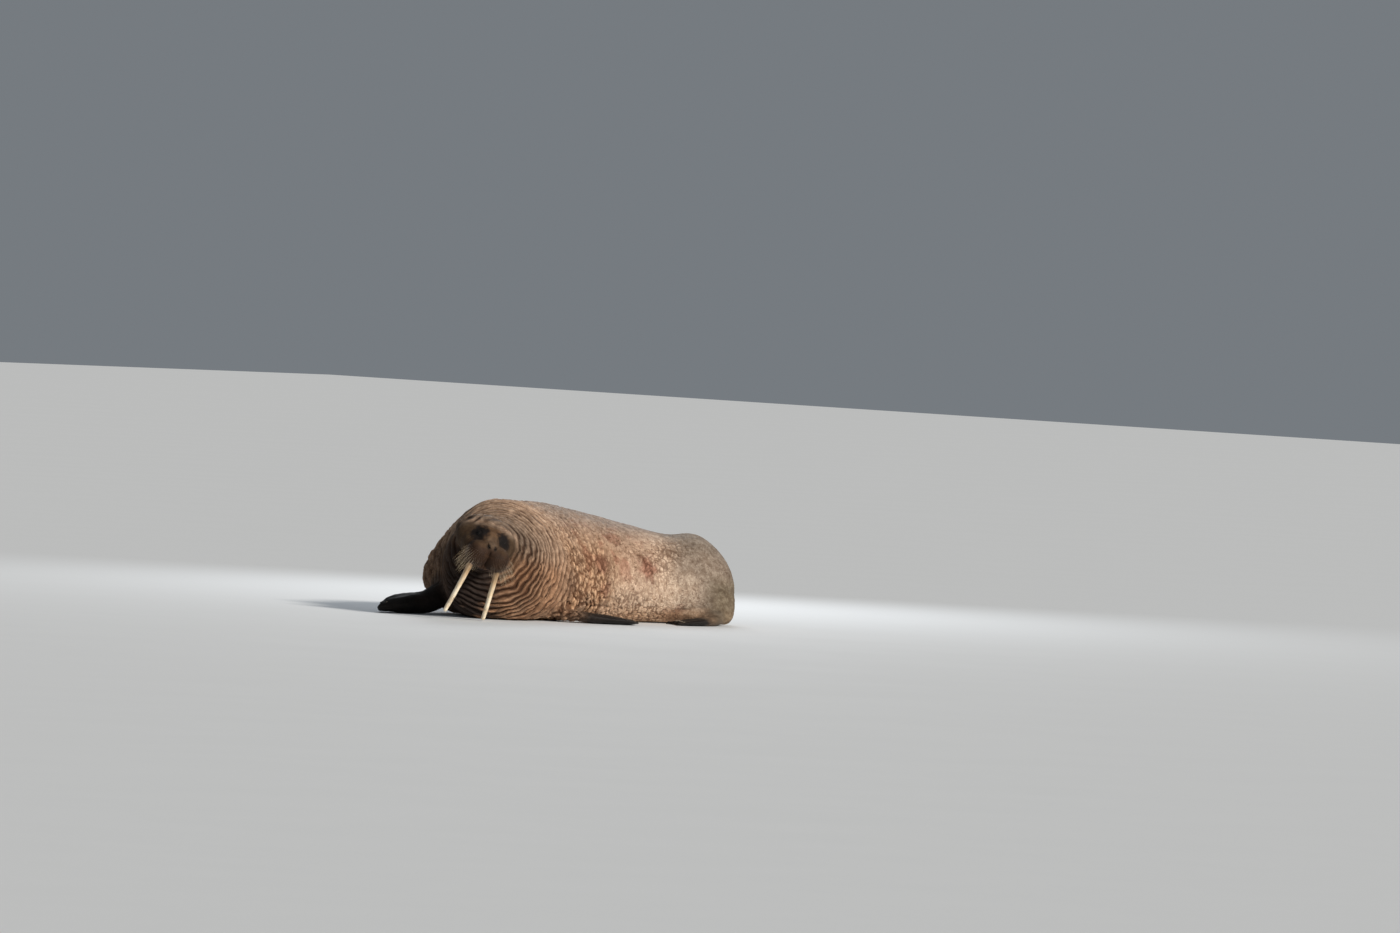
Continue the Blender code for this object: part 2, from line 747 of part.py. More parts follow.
def jaw_body(name, collection, grow=0.0):
    """The chin and lower lip."""
    return head_ellipsoid(name, JAW[0], JAW[1], collection, grow, 18)


def make_jaw(collection):
    """The lower jaw, which tucks in between the tusks under the whisker pads."""
    jaw = jaw_body("lower_jaw", collection)
    beds = []
    for sign in SIDES.values():
        beds.append(make_pad_body("pad_bed", sign, collection, LIP_LINE))
        beds.append(make_tusk("tusk_bed", side_name(sign), collection, GAP))
    beds.append(make_trunk("neck_bed", collection, GAP))
    return cut(jaw, beds)


class Flipper:
    """A flipper as one blade from the body to its tip, with the digits raised in its own surface.

    Each station is (x, y, z, half width, thickness above, thickness below).
    """

    def __init__(self, name, stations, across, count, reach, trim):
        self.name = name
        self.spine = [Vector(row[:3]) for row in stations]
        self.half_widths = [row[3] for row in stations]
        self.above = [row[4] for row in stations]
        self.below = [row[5] for row in stations]
        self.across = [Vector(row) for row in across]
        self.count = count
        self.reach = reach
        self.trim = trim

    def frame(self, share):
        """Centre, run, sideways and upward directions part of the way to the tip."""
        last = float(len(self.spine) - 1)
        place = share * last
        ahead = smooth_between(self.spine, min(place + 0.05, last))
        behind = smooth_between(self.spine, max(place - 0.05, 0.0))
        run = (ahead - behind).normalized()
        side = smooth_between(self.across, share * (len(self.across) - 1))
        side = (side - run * side.dot(run)).normalized()
        top = run.cross(side).normalized()
        if top.z < 0.0:
            top = -top
        return smooth_between(self.spine, place), run, side, top

    def ridge(self, u):
        """1 on a digit and 0 on the web between two digits."""
        return 0.5 - 0.5 * math.cos(2.0 * math.pi * self.count * (u * 0.5 + 0.5))

    def point(self, share, u, face, grow=0.0):
        """A point on the skin: u runs from -1 to 1 across, face is 1 above and -1 below."""
        last = len(self.spine) - 1
        place = share * last
        centre, run, side, top = self.frame(share)
        half_width = smooth_between(self.half_widths, place) + grow
        thick = smooth_between(self.above if face > 0.0 else self.below, place) + grow
        hand = max(0.0, min(1.0, (share - 0.45) / 0.4))
        round_off = max(0.0, 1.0 - abs(u) ** 2.2) ** (1.0 / 2.2)
        lift = thick * round_off * (1.0 + FLIPPER_RIDGE * hand * (self.ridge(u) - 0.5) * (face > 0.0))
        reach = (self.trim(u) + self.reach * self.ridge(u)) * hand**2
        point = centre + side * u * half_width + top * lift * face + run * reach
        point.z = max(point.z, FLOOR - grow)
        return point

    def build(self, collection, grow=0.0):
        """The closed skin of the flipper."""
        rings = []
        half = FLIPPER_COLUMNS
        for i in range(FLIPPER_ROWS + 1):
            share = i / FLIPPER_ROWS
            ring = []
            for face in (1.0, -1.0):
                for k in range(half):
                    u = -math.cos(math.pi * (k + 0.5) / half) * face
                    ring.append(self.point(share, u, face, grow))
            rings.append(ring)
        return loft(self.name, rings, collection, flat_tip=True)

    def claws(self, collection, length, width):
        """A claw on top of each digit, a little back from the edge."""
        claws = []
        for digit in range(self.count):
            u = -1.0 + (2.0 * digit + 1.0) / self.count
            root = self.point(CLAW_PLACE, u, 1.0)
            _, run, _, top = self.frame(CLAW_PLACE)
            middle = root + run * length * 0.5 + top * width * 0.20
            tip = root + run * length - top * width * 0.10
            claws.append(tube("claw", [root - run * width - top * width * 0.8, middle, tip],
                              [width * 0.5, width * 0.45, 0.0008], 5, collection))
        return claws


def fore_trim(u):
    """The leading edge of a foreflipper reaches furthest."""
    return -0.030 * (u + 1.0) ** 1.5


def hind_trim(u):
    """The outer digits of a hindflipper reach furthest."""
    return 0.050 * abs(u) ** 1.7 - 0.03


FORE_FLIPPERS = {
    "right": Flipper(
        "foreflipper_right",
        [(-0.72, 0.16, 0.24, 0.110, 0.110, 0.130), (-0.86, 0.10, 0.185, 0.105, 0.085, 0.120),
         (-0.99, 0.03, 0.110, 0.095, 0.068, 0.110), (-1.12, -0.03, 0.072, 0.112, 0.076, 0.072),
         (-1.25, -0.08, 0.050, 0.130, 0.062, 0.050), (-1.350, -0.115, 0.016, 0.135, 0.016, 0.012)],
        [(0.2, 1.0, 0.0), (0.3, 1.0, 0.0)], 5, 0.020, fore_trim),
    "left": Flipper(
        "foreflipper_left",
        [(-0.12, -0.06, 0.110, 0.090, 0.060, 0.110), (0.05, -0.16, 0.070, 0.090, 0.045, 0.070),
         (0.19, -0.17, 0.050, 0.085, 0.036, 0.050), (0.32, -0.125, 0.040, 0.108, 0.028, 0.040),
         (0.45, -0.055, 0.028, 0.132, 0.020, 0.028), (0.57, 0.02, 0.012, 0.140, 0.009, 0.010)],
        [(0.25, -1.0, 0.0), (0.55, -1.0, 0.0)], 5, 0.020, fore_trim),
}
FORE_WRIST = 0.56


def make_fore_limbs(collection):
    """Both arms and foreflippers: the right one reaches out to the side, the left lies by the flank."""
    nodes = []
    for side, shape in FORE_FLIPPERS.items():
        wrist, run, _, _ = shape.frame(FORE_WRIST)
        arm = shape.build(collection)
        arm.name = "arm_" + side
        hand = shape.build(collection)
        hand.name = "foreflipper_" + side
        slice_off(arm, wrist - run * GAP * 0.5, run)
        slice_off(hand, wrist + run * GAP * 0.5, -run)
        unite(hand, shape.claws(collection, *FORE_CLAW))
        nodes.append(cut(arm, [make_trunk("trunk_bed", collection, LIMB_GAP)]))
        nodes.append(cut(hand, [make_trunk("trunk_bed", collection, GAP)]))
    return nodes


# Hind legs: back, out, height, half width, half height.
# Hind feet: back, out, height, half width, thickness above, thickness below.
LEG_STATIONS = (
    (-0.26, 0.21, 0.150, 0.090, 0.110), (-0.10, 0.235, 0.160, 0.125, 0.155),
    (0.03, 0.250, 0.160, 0.135, 0.162), (0.13, 0.262, 0.150, 0.120, 0.152),
    (0.190, 0.268, 0.143, 0.090, 0.132), (0.226, 0.270, 0.155, 0.040, 0.085),
)
FOOT_STATIONS = (
    (0.095, 0.300, 0.050, 0.050, 0.040, 0.050), (0.045, 0.380, 0.046, 0.062, 0.036, 0.046),
    (-0.040, 0.440, 0.038, 0.090, 0.028, 0.038), (-0.165, 0.470, 0.026, 0.130, 0.018, 0.026),
    (-0.280, 0.485, 0.012, 0.160, 0.008, 0.010),
)
TAIL_RUN = ((1.19, 0.972, 0.20), (1.245, 0.985, 0.165), (1.275, 0.992, 0.110))
TAIL_RADII = (0.045, 0.038, 0.014)


def hip_point(sign, back, out, height):
    """A point by how far back, how far out and how high it is from the middle of the hips."""
    return HIP_ORIGIN + HIP_ALONG * back + HIP_LEFT * out * sign + Vector((0.0, 0.0, height))


def hind_leg(name, sign, collection, grow=0.0):
    """The leg down to its rounded heel, inside the skin of the rump."""
    centres = [hip_point(sign, *row[:3]) for row in LEG_STATIONS]
    sizes = [Vector(row[3:]) for row in LEG_STATIONS]
    rings = []
    last = len(LEG_STATIONS) - 1
    for i in range(LEG_ROWS + 1):
        place = last * i / LEG_ROWS
        centre = smooth_between(centres, place)
        width, height = smooth_between(sizes, place)
        ring = []
        for k in range(LEG_SIDES):
            angle = 2.0 * math.pi * k / LEG_SIDES
            spread = HIP_LEFT * math.cos(angle) * (width + grow)
            point = centre + spread + Vector((0.0, 0.0, math.sin(angle) * (height + grow)))
            point.z = max(point.z, FLOOR - grow)
            ring.append(point)
        rings.append(ring)
    rings[0] = [point - HIP_ALONG * grow for point in rings[0]]
    rings[-1] = [point + HIP_ALONG * grow for point in rings[-1]]
    return loft(name, rings, collection)


def make_hind_limbs(collection):
    """Both hind legs, and the hindflippers that turn forwards at the heel."""
    nodes = []
    for side, sign in SIDES.items():
        rows = [(*hip_point(sign, *row[:3]), *row[3:]) for row in FOOT_STATIONS]
        across = [tuple(HIP_LEFT * sign + HIP_ALONG * 0.3), tuple(HIP_LEFT * sign)]
        shape = Flipper("hind_flipper_" + side, rows, across, 5, 0.022, hind_trim)
        foot = shape.build(collection)
        unite(foot, shape.claws(collection, *HIND_CLAW))
        beds = [hind_leg("leg_bed", sign, collection, LIMB_GAP), make_trunk("trunk_bed", collection, GAP)]
        nodes.append(cut(foot, beds))
        leg = hind_leg("hind_leg_" + side, sign, collection)
        nodes.append(cut(leg, [make_trunk("trunk_bed", collection, GAP)]))
    return nodes


def make_tail(collection):
    """The stub of a tail, which hangs between the heels."""
    tail = tube("tail", [Vector(point) for point in TAIL_RUN], TAIL_RADII, 12, collection)
    return cut(tail, [make_trunk("trunk_bed", collection, LIMB_GAP)])


def set_down(nodes):
    """Turn the animal so that muzzle to rump lies along +X, over the middle of its footprint."""
    turn = Matrix.Rotation(BODY_TURN, 4, "Z")
    for node in nodes:
        node.data.transform(turn)
    corners = [vertex.co for node in nodes for vertex in node.data.vertices]
    middle = [(min(c[k] for c in corners) + max(c[k] for c in corners)) * 0.5 for k in range(2)]
    shift = Matrix.Translation((-middle[0], -middle[1], -min(c.z for c in corners)))
    for node in nodes:
        node.data.transform(shift)
        node.data.update()


def main():
    """Build the walrus."""
    clear_scene()
    collection = new_collection("walrus")
    nodes = make_trunk_nodes(collection)
    nodes.append(make_head(collection))
    nodes.append(make_jaw(collection))
    for side, sign in SIDES.items():
        nodes.append(make_pad(sign, collection))
        nodes.append(make_tusk("tusk_" + side, side, collection))
        nodes.append(eye_ball("eye_" + side, sign, collection))
    nodes += make_fore_limbs(collection)
    nodes += make_hind_limbs(collection)
    nodes.append(make_tail(collection))
    set_down(nodes)
    for node in nodes:
        dress(node)
    return nodes


if __name__ == "__main__":
    main()
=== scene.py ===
"""Dresses the solid walrus: one creased hide, short coat, bristles, tusks, eyes, claws, stage."""

import math

import bmesh
import bpy
import numpy as np
from bpy.props import FloatProperty, FloatVectorProperty, IntProperty, PointerProperty
from mathutils import Matrix, Vector, noise
from mathutils.bvhtree import BVHTree


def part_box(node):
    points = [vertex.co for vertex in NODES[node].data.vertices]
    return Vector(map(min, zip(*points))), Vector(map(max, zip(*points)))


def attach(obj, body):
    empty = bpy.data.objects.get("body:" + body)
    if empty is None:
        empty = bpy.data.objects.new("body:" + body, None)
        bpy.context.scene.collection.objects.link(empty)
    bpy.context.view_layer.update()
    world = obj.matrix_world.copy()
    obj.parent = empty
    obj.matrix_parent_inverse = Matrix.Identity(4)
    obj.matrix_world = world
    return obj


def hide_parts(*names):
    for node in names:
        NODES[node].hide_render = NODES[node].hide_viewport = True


bl_info = {
    "name": "Life-size walrus",
    "version": (1, 0, 0),
    "blender": (4, 5, 0),
    "location": "View3D > Sidebar > Walrus",
    "description": "Hide, coat, bristles, tusks, eyes and claws of a lying walrus",
    "category": "Object",
}

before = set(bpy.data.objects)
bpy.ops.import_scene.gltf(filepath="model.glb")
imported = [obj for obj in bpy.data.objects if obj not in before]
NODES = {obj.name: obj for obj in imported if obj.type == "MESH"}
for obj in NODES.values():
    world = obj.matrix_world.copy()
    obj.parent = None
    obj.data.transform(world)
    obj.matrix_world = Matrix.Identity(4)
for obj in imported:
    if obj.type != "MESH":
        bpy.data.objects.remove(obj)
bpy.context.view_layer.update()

SIDES = {"left": 1.0, "right": -1.0}
FLESH = [name for name in NODES if not name.startswith(("eye_", "tusk_"))]
PADS = ["whisker_pad_left", "whisker_pad_right"]

# The head's own frame (F forwards, L to the animal's left, U up), from between the eyes
BODY_TURN = Matrix.Rotation(math.radians(-48.0), 3, "Z")
HEAD_TURN = (
    BODY_TURN
    @ Matrix.Rotation(math.radians(18.0), 3, "Y")
    @ Matrix.Rotation(math.radians(13.0), 3, "Z")
    @ Matrix.Rotation(math.radians(19.0), 3, "X")
)
HEAD_F = HEAD_TURN @ Vector((0.0, -1.0, 0.0))
HEAD_L = HEAD_TURN @ Vector((1.0, 0.0, 0.0))
HEAD_U = HEAD_TURN @ Vector((0.0, 0.0, 1.0))
HEAD_AXES = np.array((HEAD_F, HEAD_L, HEAD_U))


def node_middle(name):
    """The middle of a solid's box."""
    low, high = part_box(name)
    return (low + high) * 0.5


HEAD_ORIGIN = (node_middle("eye_left") + node_middle("eye_right")) * 0.5
LEVEL_HEAD = Vector((-0.520, -0.750, 0.606))
SHIFT = HEAD_ORIGIN - BODY_TURN @ LEVEL_HEAD

# The trunk's middle line in the level frame: x, y, z and heading in degrees
MIDDLE_LINE = (
    (-0.500, -0.440, 0.415, 84.0), (-0.482, -0.150, 0.360, 77.0), (-0.384, 0.113, 0.310, 65.0),
    (-0.200, 0.380, 0.310, 49.0), (0.100, 0.610, 0.310, 33.0), (0.460, 0.770, 0.300, 22.0),
    (0.740, 0.865, 0.290, 16.0), (0.950, 0.920, 0.280, 13.0), (1.100, 0.953, 0.270, 12.0),
    (1.208, 0.975, 0.260, 12.0), (1.270, 0.990, 0.250, 12.0),
)
NAPE = (-0.130, 0.0, -0.080)
STEPS_PER_SECTION = 22

PAD_CENTRE = Vector((0.122, 0.076, -0.098))
PAD_RADII = Vector((0.092, 0.088, 0.096))
PAD_SQUARE = 0.86
EYE_SPACING = 0.092
EYE_RADIUS = 0.020
EYE_LOOK = (0.50, 0.84, 0.10)
EAR = (-0.095, 0.232, -0.060)
# Balls inside the nose and the nape, which close the solids' own nostrils and ear pits
PLUGS = (((0.118, 0.0, -0.026), (0.067, 0.061, 0.037)), ((-0.165, 0.0, -0.080), (0.184, 0.245, 0.177)))
NOSTRIL = (0.172, 0.026, -0.008)
RING_CENTRE = (-0.030, 0.045, -0.120)

# Flippers in the level frame, from the body to the tip: x, y, z, half width and thickness above
HIP = Vector((1.000, 0.930, 0.0))
HIP_ALONG = Vector((0.974, 0.225, 0.0)).normalized()
HIP_LEFT = Vector((0.225, -0.974, 0.0)).normalized()
LIMBS = {
    "foreflipper_right": (
        (-0.72, 0.16, 0.24, 0.110, 0.110), (-0.86, 0.10, 0.185, 0.105, 0.085),
        (-0.99, 0.03, 0.110, 0.095, 0.068), (-1.12, -0.03, 0.072, 0.112, 0.076),
        (-1.25, -0.08, 0.050, 0.130, 0.062), (-1.350, -0.115, 0.016, 0.135, 0.016),
    ),
    "foreflipper_left": (
        (-0.12, -0.06, 0.110, 0.090, 0.060), (0.05, -0.16, 0.070, 0.090, 0.045),
        (0.19, -0.17, 0.050, 0.085, 0.036), (0.32, -0.125, 0.040, 0.108, 0.028),
        (0.45, -0.055, 0.028, 0.132, 0.020), (0.57, 0.02, 0.012, 0.140, 0.009),
    ),
}
# Raw reddish patches on the flank that faces the camera: place, radius and strength
SORES = (((-0.010, -0.429, 0.435), 0.080, 0.65), ((0.418, -0.512, 0.414), 0.085, 0.75),
         ((0.198, -0.329, 0.628), 0.055, 0.50), ((0.022, -0.448, 0.242), 0.060, 0.55),
         ((0.702, -0.502, 0.070), 0.110, 0.60))
# How far along it each foreflipper comes out of the body
LIMB_STARTS = {"foreflipper_right": 0.12, "foreflipper_left": 0.22}
HIND_STATIONS = (
    (0.095, 0.300, 0.050, 0.050, 0.040), (0.045, 0.380, 0.046, 0.062, 0.036),
    (-0.040, 0.440, 0.038, 0.090, 0.028), (-0.165, 0.470, 0.026, 0.130, 0.018),
    (-0.280, 0.485, 0.012, 0.160, 0.008),
)


def to_row(point):
    """A point of the level frame, in the frame of the solids."""
    return BODY_TURN @ Vector(point) + SHIFT


def head_point(forwards, left, up):
    """A point given in the head's frame."""
    return HEAD_ORIGIN + HEAD_F * forwards + HEAD_L * left + HEAD_U * up


def head_way(forwards, left, up):
    """A direction given in the head's frame."""
    return (HEAD_F * forwards + HEAD_L * left + HEAD_U * up).normalized()


def smoothstep(low, high, value):
    """0 below low, 1 above high, and a soft ramp between them."""
    share = np.clip((value - low) / (high - low), 0.0, 1.0)
    return share * share * (3.0 - 2.0 * share)


def bell(value, middle, width):
    """1 at the middle, falling softly to nothing on both sides."""
    return np.exp(-(((value - middle) / width) ** 2))


def smooth_between(values, place):
    """The value at a place along a run of values, on a smooth curve through all of them."""
    last = len(values) - 1
    place = min(max(place, 0.0), float(last))
    start = min(int(place), last - 1)
    t = place - start
    before = values[max(start - 1, 0)]
    here = values[start]
    there = values[start + 1]
    after = values[min(start + 2, last)]
    return (
        here * (2.0 * t**3 - 3.0 * t**2 + 1.0)
        + (there - before) * 0.5 * (t**3 - 2.0 * t**2 + t)
        + there * (-2.0 * t**3 + 3.0 * t**2)
        + (after - here) * 0.5 * (t**3 - t**2)
    )


def noise_at(points, size, seed=0.0):
    """Smooth noise from about -1 to 1 at each point, in lumps of about the given size."""
    shifted = points / size + seed
    return np.array([noise.noise(p) for p in shifted.tolist()])


def cells_at(points, size, seed=0.0):
    """0 on the border between two cells of about the given size, rising towards their middles."""
    shifted = points / size + seed
    gaps = []
    for p in shifted.tolist():
        near = noise.voronoi(p)[0]
        gaps.append(near[1] - near[0])
    return np.array(gaps)


class Trunk:
    """The trunk's bent middle line, which straightens any point of the hide."""

    def __init__(self):
        centres = [head_point(*NAPE)]
        sides = [HEAD_L.copy()]
        ups = [HEAD_U.copy()]
        for x, y, z, heading in MIDDLE_LINE:
            angle = math.radians(heading)
            centres.append(to_row((x, y, z)))
            sides.append(BODY_TURN @ Vector((math.sin(angle), -math.cos(angle), 0.0)))
            ups.append(Vector((0.0, 0.0, 1.0)))
        count = (len(centres) - 1) * STEPS_PER_SECTION + 1
        self.centres = np.array([smooth_between(centres, k / STEPS_PER_SECTION) for k in range(count)])
        self.sides = np.array([smooth_between(sides, k / STEPS_PER_SECTION).normalized() for k in range(count)])
        self.ups = np.array([smooth_between(ups, k / STEPS_PER_SECTION).normalized() for k in range(count)])
        self.backs = np.cross(self.ups, self.sides)
        self.backs /= np.linalg.norm(self.backs, axis=1)[:, None]
        steps = np.linalg.norm(np.diff(self.centres, axis=0), axis=1)
        self.metres = np.concatenate(([0.0], np.cumsum(steps)))

    def straighten(self, points):
        """Metres behind the nape, and metres to the left of and above the middle line."""
        last = len(self.centres) - 1
        step = 8
        coarse = np.arange(0, last + 1, step)
        out = np.zeros_like(points)
        for start in range(0, len(points), 20000):
            some = points[start:start + 20000]
            rows = np.arange(len(some))
            first = self.closest(some, np.broadcast_to(coarse, (len(some), len(coarse))))
            window = np.clip(first[:, None] + np.arange(-step, step + 1)[None], 0, last)
            best = self.closest(some, window)
            here = some - self.centres[best]
            out[start + rows, 0] = self.metres[best] + np.einsum("ij,ij->i", here, self.backs[best])
            out[start + rows, 1] = np.einsum("ij,ij->i", here, self.sides[best])
            out[start + rows, 2] = np.einsum("ij,ij->i", here, self.ups[best])
        return out

    def closest(self, points, choices):
        """The choice on the middle line that lies level with each point and near it."""
        offset = points[:, None, :] - self.centres[choices]
        ahead = np.einsum("ijk,ijk->ij", offset, self.backs[choices])
        far = np.sqrt(np.einsum("ijk,ijk->ij", offset, offset))
        best = np.argmin(np.abs(ahead) * 10.0 + far, axis=1)
        return choices[np.arange(len(points)), best]

    def backwards(self, metres):
        """The direction towards the tail at each distance behind the nape."""
        index = np.clip(np.searchsorted(self.metres, metres), 0, len(self.metres) - 1)
        return self.backs[index]


TRUNK = Trunk()


class Limb:
    """The middle line of a flipper, for its smoothing, colour, wrinkles and claws."""

    def __init__(self, stations):
        self.spine = [to_row(row[:3]) for row in stations]
        self.half_widths = [row[3] for row in stations]
        tops = [row[4] for row in stations]
        last = len(stations) - 1
        self.shares = np.linspace(0.0, 1.0, 41)
        self.line = np.array([smooth_between(self.spine, share * last) for share in self.shares])
        self.widths = np.array([smooth_between(self.half_widths, share * last) for share in self.shares])
        self.tops = np.array([smooth_between(tops, share * last) for share in self.shares]) * 1.25 + 0.012

    def measure(self, points):
        """How far along the flipper each point is, and how far off its middle line in half sizes."""
        share = np.zeros(len(points))
        off = np.full(len(points), 9.0)
        low = self.line.min(axis=0) - 0.32
        high = self.line.max(axis=0) + 0.32
        near = np.flatnonzero(np.all((points > low) & (points < high), axis=1))
        offset = points[near][:, None, :] - self.line[None]
        flat = np.hypot(offset[:, :, 0], offset[:, :, 1]) / self.widths[None]
        far = np.hypot(flat, offset[:, :, 2] / self.tops[None])
        best = np.argmin(far, axis=1)
        share[near] = self.shares[best]
        off[near] = far[np.arange(len(near)), best]
        return share, off


def make_limbs():
    """All four flippers' middle lines."""
    limbs = {name: Limb(stations) for name, stations in LIMBS.items()}
    for side, sign in SIDES.items():
        rows = []
        for back, out, height, half_width, top in HIND_STATIONS:
            place = HIP + HIP_ALONG * back + HIP_LEFT * out * sign + Vector((0.0, 0.0, height))
            rows.append((*place, half_width, top))
        limbs["hind_flipper_" + side] = Limb(rows)
    return limbs


ALL_LIMBS = make_limbs()


# Sizes and colours a user would change


class WalrusHide(bpy.types.PropertyGroup):
    """Sizes of the hide."""

    grain: FloatProperty(name="Grain", description="Edge length the hide is first built with", default=0.006,
                         min=0.003, max=0.02, unit="LENGTH")
    under_coat: FloatProperty(name="Under the coat", description="How far the hide lies inside the solids",
                              default=0.0035, unit="LENGTH")
    triangles: IntProperty(name="Triangles", description="Most triangles in the hide", default=197000)
    fold_gap: FloatProperty(name="Neck fold gap", description="Distance between the folds next to the face",
                            default=0.033, unit="LENGTH")
    fold_gap_far: FloatProperty(name="Shoulder fold gap", description="Distance between the folds at the shoulder",
                                default=0.047, unit="LENGTH")
    fold_depth: FloatProperty(name="Fold depth", description="Depth of the neck's folds", default=0.0180,
                              unit="LENGTH")
    boss_size: FloatProperty(name="Boss size", description="Width of the knobs on the shoulders", default=0.056,
                             unit="LENGTH")
    boss_depth: FloatProperty(name="Boss depth", description="Depth of the clefts between the knobs",
                              default=0.0185, unit="LENGTH")


class WalrusColours(bpy.types.PropertyGroup):
    """Colours of the hide and of what stands on it."""

    tan: FloatVectorProperty(name="Tan", description="Flank", default=(0.470, 0.330, 0.236), subtype="COLOR")
    # Pale pink of the hide; low on the flank and thigh it also stands for painted light bounced up from the floor
    pale: FloatVectorProperty(name="Pale pink", description="Low flank", default=(0.740, 0.590, 0.455), subtype="COLOR")
    grey: FloatVectorProperty(name="Grey", description="Back", default=(0.285, 0.242, 0.210), subtype="COLOR")
    rust: FloatVectorProperty(name="Rust", description="Sore patches", default=(0.270, 0.105, 0.066), subtype="COLOR")
    orange: FloatVectorProperty(name="Orange", description="Knobs", default=(0.660, 0.420, 0.250), subtype="COLOR")
    neck: FloatVectorProperty(name="Neck", description="Neck folds", default=(0.295, 0.203, 0.140), subtype="COLOR")
    low_neck: FloatVectorProperty(name="Low neck", description="Folds under the cheek",
                                  default=(0.265, 0.142, 0.076), subtype="COLOR")
    crown: FloatVectorProperty(name="Crown", description="Top of the head", default=(0.135, 0.101, 0.076),
                               subtype="COLOR")
    face: FloatVectorProperty(name="Face", description="Brow and cheeks", default=(0.060, 0.037, 0.020),
                              subtype="COLOR")
    muzzle: FloatVectorProperty(name="Muzzle", description="Whisker pads", default=(0.030, 0.015, 0.008),
                                subtype="COLOR")
    # Near black of the patches round the eyes; also painted shade in the nostrils, the ear pits and the mouth under the
    # chin
    dark: FloatVectorProperty(name="Dark", description="Round the eyes, nostrils", default=(0.004, 0.003, 0.003),
                              subtype="COLOR")
    # Dark brown of throat, chest and flipper roots; it is also painted shade on the neck's shaded right side and under
    # the chin
    throat: FloatVectorProperty(name="Throat", description="Throat and chest", default=(0.024, 0.017, 0.014),
                                subtype="COLOR")
    rump: FloatVectorProperty(name="Rump", description="Rump", default=(0.215, 0.182, 0.147), subtype="COLOR")
    heel: FloatVectorProperty(name="Heel", description="Hind legs", default=(0.160, 0.130, 0.086), subtype="COLOR")
    flipper: FloatVectorProperty(name="Flipper", description="Flippers", default=(0.010, 0.008, 0.007),
                                 subtype="COLOR")
    lip: FloatVectorProperty(name="Lip", description="Edge of the lips", default=(0.30, 0.175, 0.120), subtype="COLOR")
    # Dark colour painted as shade at the bottom of folds, clefts and cracks
    cleft: FloatVectorProperty(name="Cleft", description="Bottom of creases", default=(0.060, 0.026, 0.014),
                               subtype="COLOR")
    ivory: FloatVectorProperty(name="Ivory", description="Tusks", default=(0.880, 0.680, 0.430), subtype="COLOR")
    stain: FloatVectorProperty(name="Tusk stain", description="Root of the tusks", default=(0.40, 0.245, 0.120),
                               subtype="COLOR")
    bristle: FloatVectorProperty(name="Bristle", description="Whiskers", default=(0.460, 0.330, 0.190), subtype="COLOR")
    horn: FloatVectorProperty(name="Horn", description="Claws", default=(0.16, 0.115, 0.080), subtype="COLOR")
    floor: FloatVectorProperty(name="Floor", description="Studio floor", default=(0.740, 0.760, 0.780), subtype="COLOR")


class WalrusBristles(bpy.types.PropertyGroup):
    """Sizes of the whiskers and of the coat."""

    rows: IntProperty(name="Rows", description="Rows of whiskers on a pad", default=9)
    per_row: IntProperty(name="Per row", description="Whiskers in a row", default=11)
    short: FloatProperty(name="Shortest whisker", description="Length beside the nose", default=0.022, unit="LENGTH")
    long: FloatProperty(name="Longest whisker", description="Length at the outer corner", default=0.115,
                        unit="LENGTH")
    thick: FloatProperty(name="Whisker radius", description="Radius at the root", default=0.00105, unit="LENGTH")
    tufts: IntProperty(name="Tufts", description="Tufts of short hair in each part of the coat", default=44000)
    tuft_length: FloatProperty(name="Tuft length", description="Length of the coat's hair", default=0.009,
                               unit="LENGTH")
    tuft_width: FloatProperty(name="Tuft width", description="Width of a tuft at its root", default=0.0011,
                              unit="LENGTH")


# Helpers on meshes


def new_object(name, mesh_edit):
    """A named object from an edit mesh."""
    mesh = bpy.data.meshes.new(name)
    mesh_edit.to_mesh(mesh)
    mesh_edit.free()
    thing = bpy.data.objects.new(name, mesh)
    bpy.context.scene.collection.objects.link(thing)
    return thing


def object_of_arrays(name, points, faces):
    """A named object joined from many like small pieces."""
    mesh = bpy.data.meshes.new(name)
    mesh.from_pydata(points.tolist(), [], faces.tolist())
    thing = bpy.data.objects.new(name, mesh)
    bpy.context.scene.collection.objects.link(thing)
    return thing


def finish_piece(thing, material, replaced=()):
    """Colour a piece and tie it to the body."""
    thing.data.materials.clear()
    thing.data.materials.append(material)
    thing.data.shade_smooth()
    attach(thing, "root")
    if replaced:
        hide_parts(*replaced)
    return thing


def baked(thing):
    """Fix an object's modifiers into its mesh."""
    graph = bpy.context.evaluated_depsgraph_get()
    mesh = bpy.data.meshes.new_from_object(thing.evaluated_get(graph), preserve_all_data_layers=True,
                                           depsgraph=graph)
    thing.modifiers.clear()
    old = thing.data
    thing.data = mesh
    bpy.data.meshes.remove(old)
    return thing


def add_solid(mesh_edit, node, push):
    """Add a merged copy of a solid, pushed out a little, to an edit mesh."""
    copy = bmesh.new()
    copy.from_mesh(NODES[node].data)
    bmesh.ops.remove_doubles(copy, verts=copy.verts, dist=1e-5)
    copy.normal_update()
    for vertex in copy.verts:
        vertex.co += vertex.normal * push
    mesh = bpy.data.meshes.new("copy")
    copy.to_mesh(mesh)
    copy.free()
    mesh_edit.from_mesh(mesh)
    bpy.data.meshes.remove(mesh)


def add_ball(mesh_edit, centre, radii, segments=32):
    """Add an ellipsoid on the head's axes and return its points."""
    made = bmesh.ops.create_uvsphere(mesh_edit, u_segments=segments, v_segments=segments // 2, radius=1.0)
    turn = Matrix((HEAD_F, HEAD_L, HEAD_U)).transposed().to_4x4()
    scale = Matrix.Diagonal((*radii, 1.0))
    bmesh.ops.transform(mesh_edit, matrix=Matrix.Translation(centre) @ turn @ scale, verts=made["verts"])
    return made["verts"]


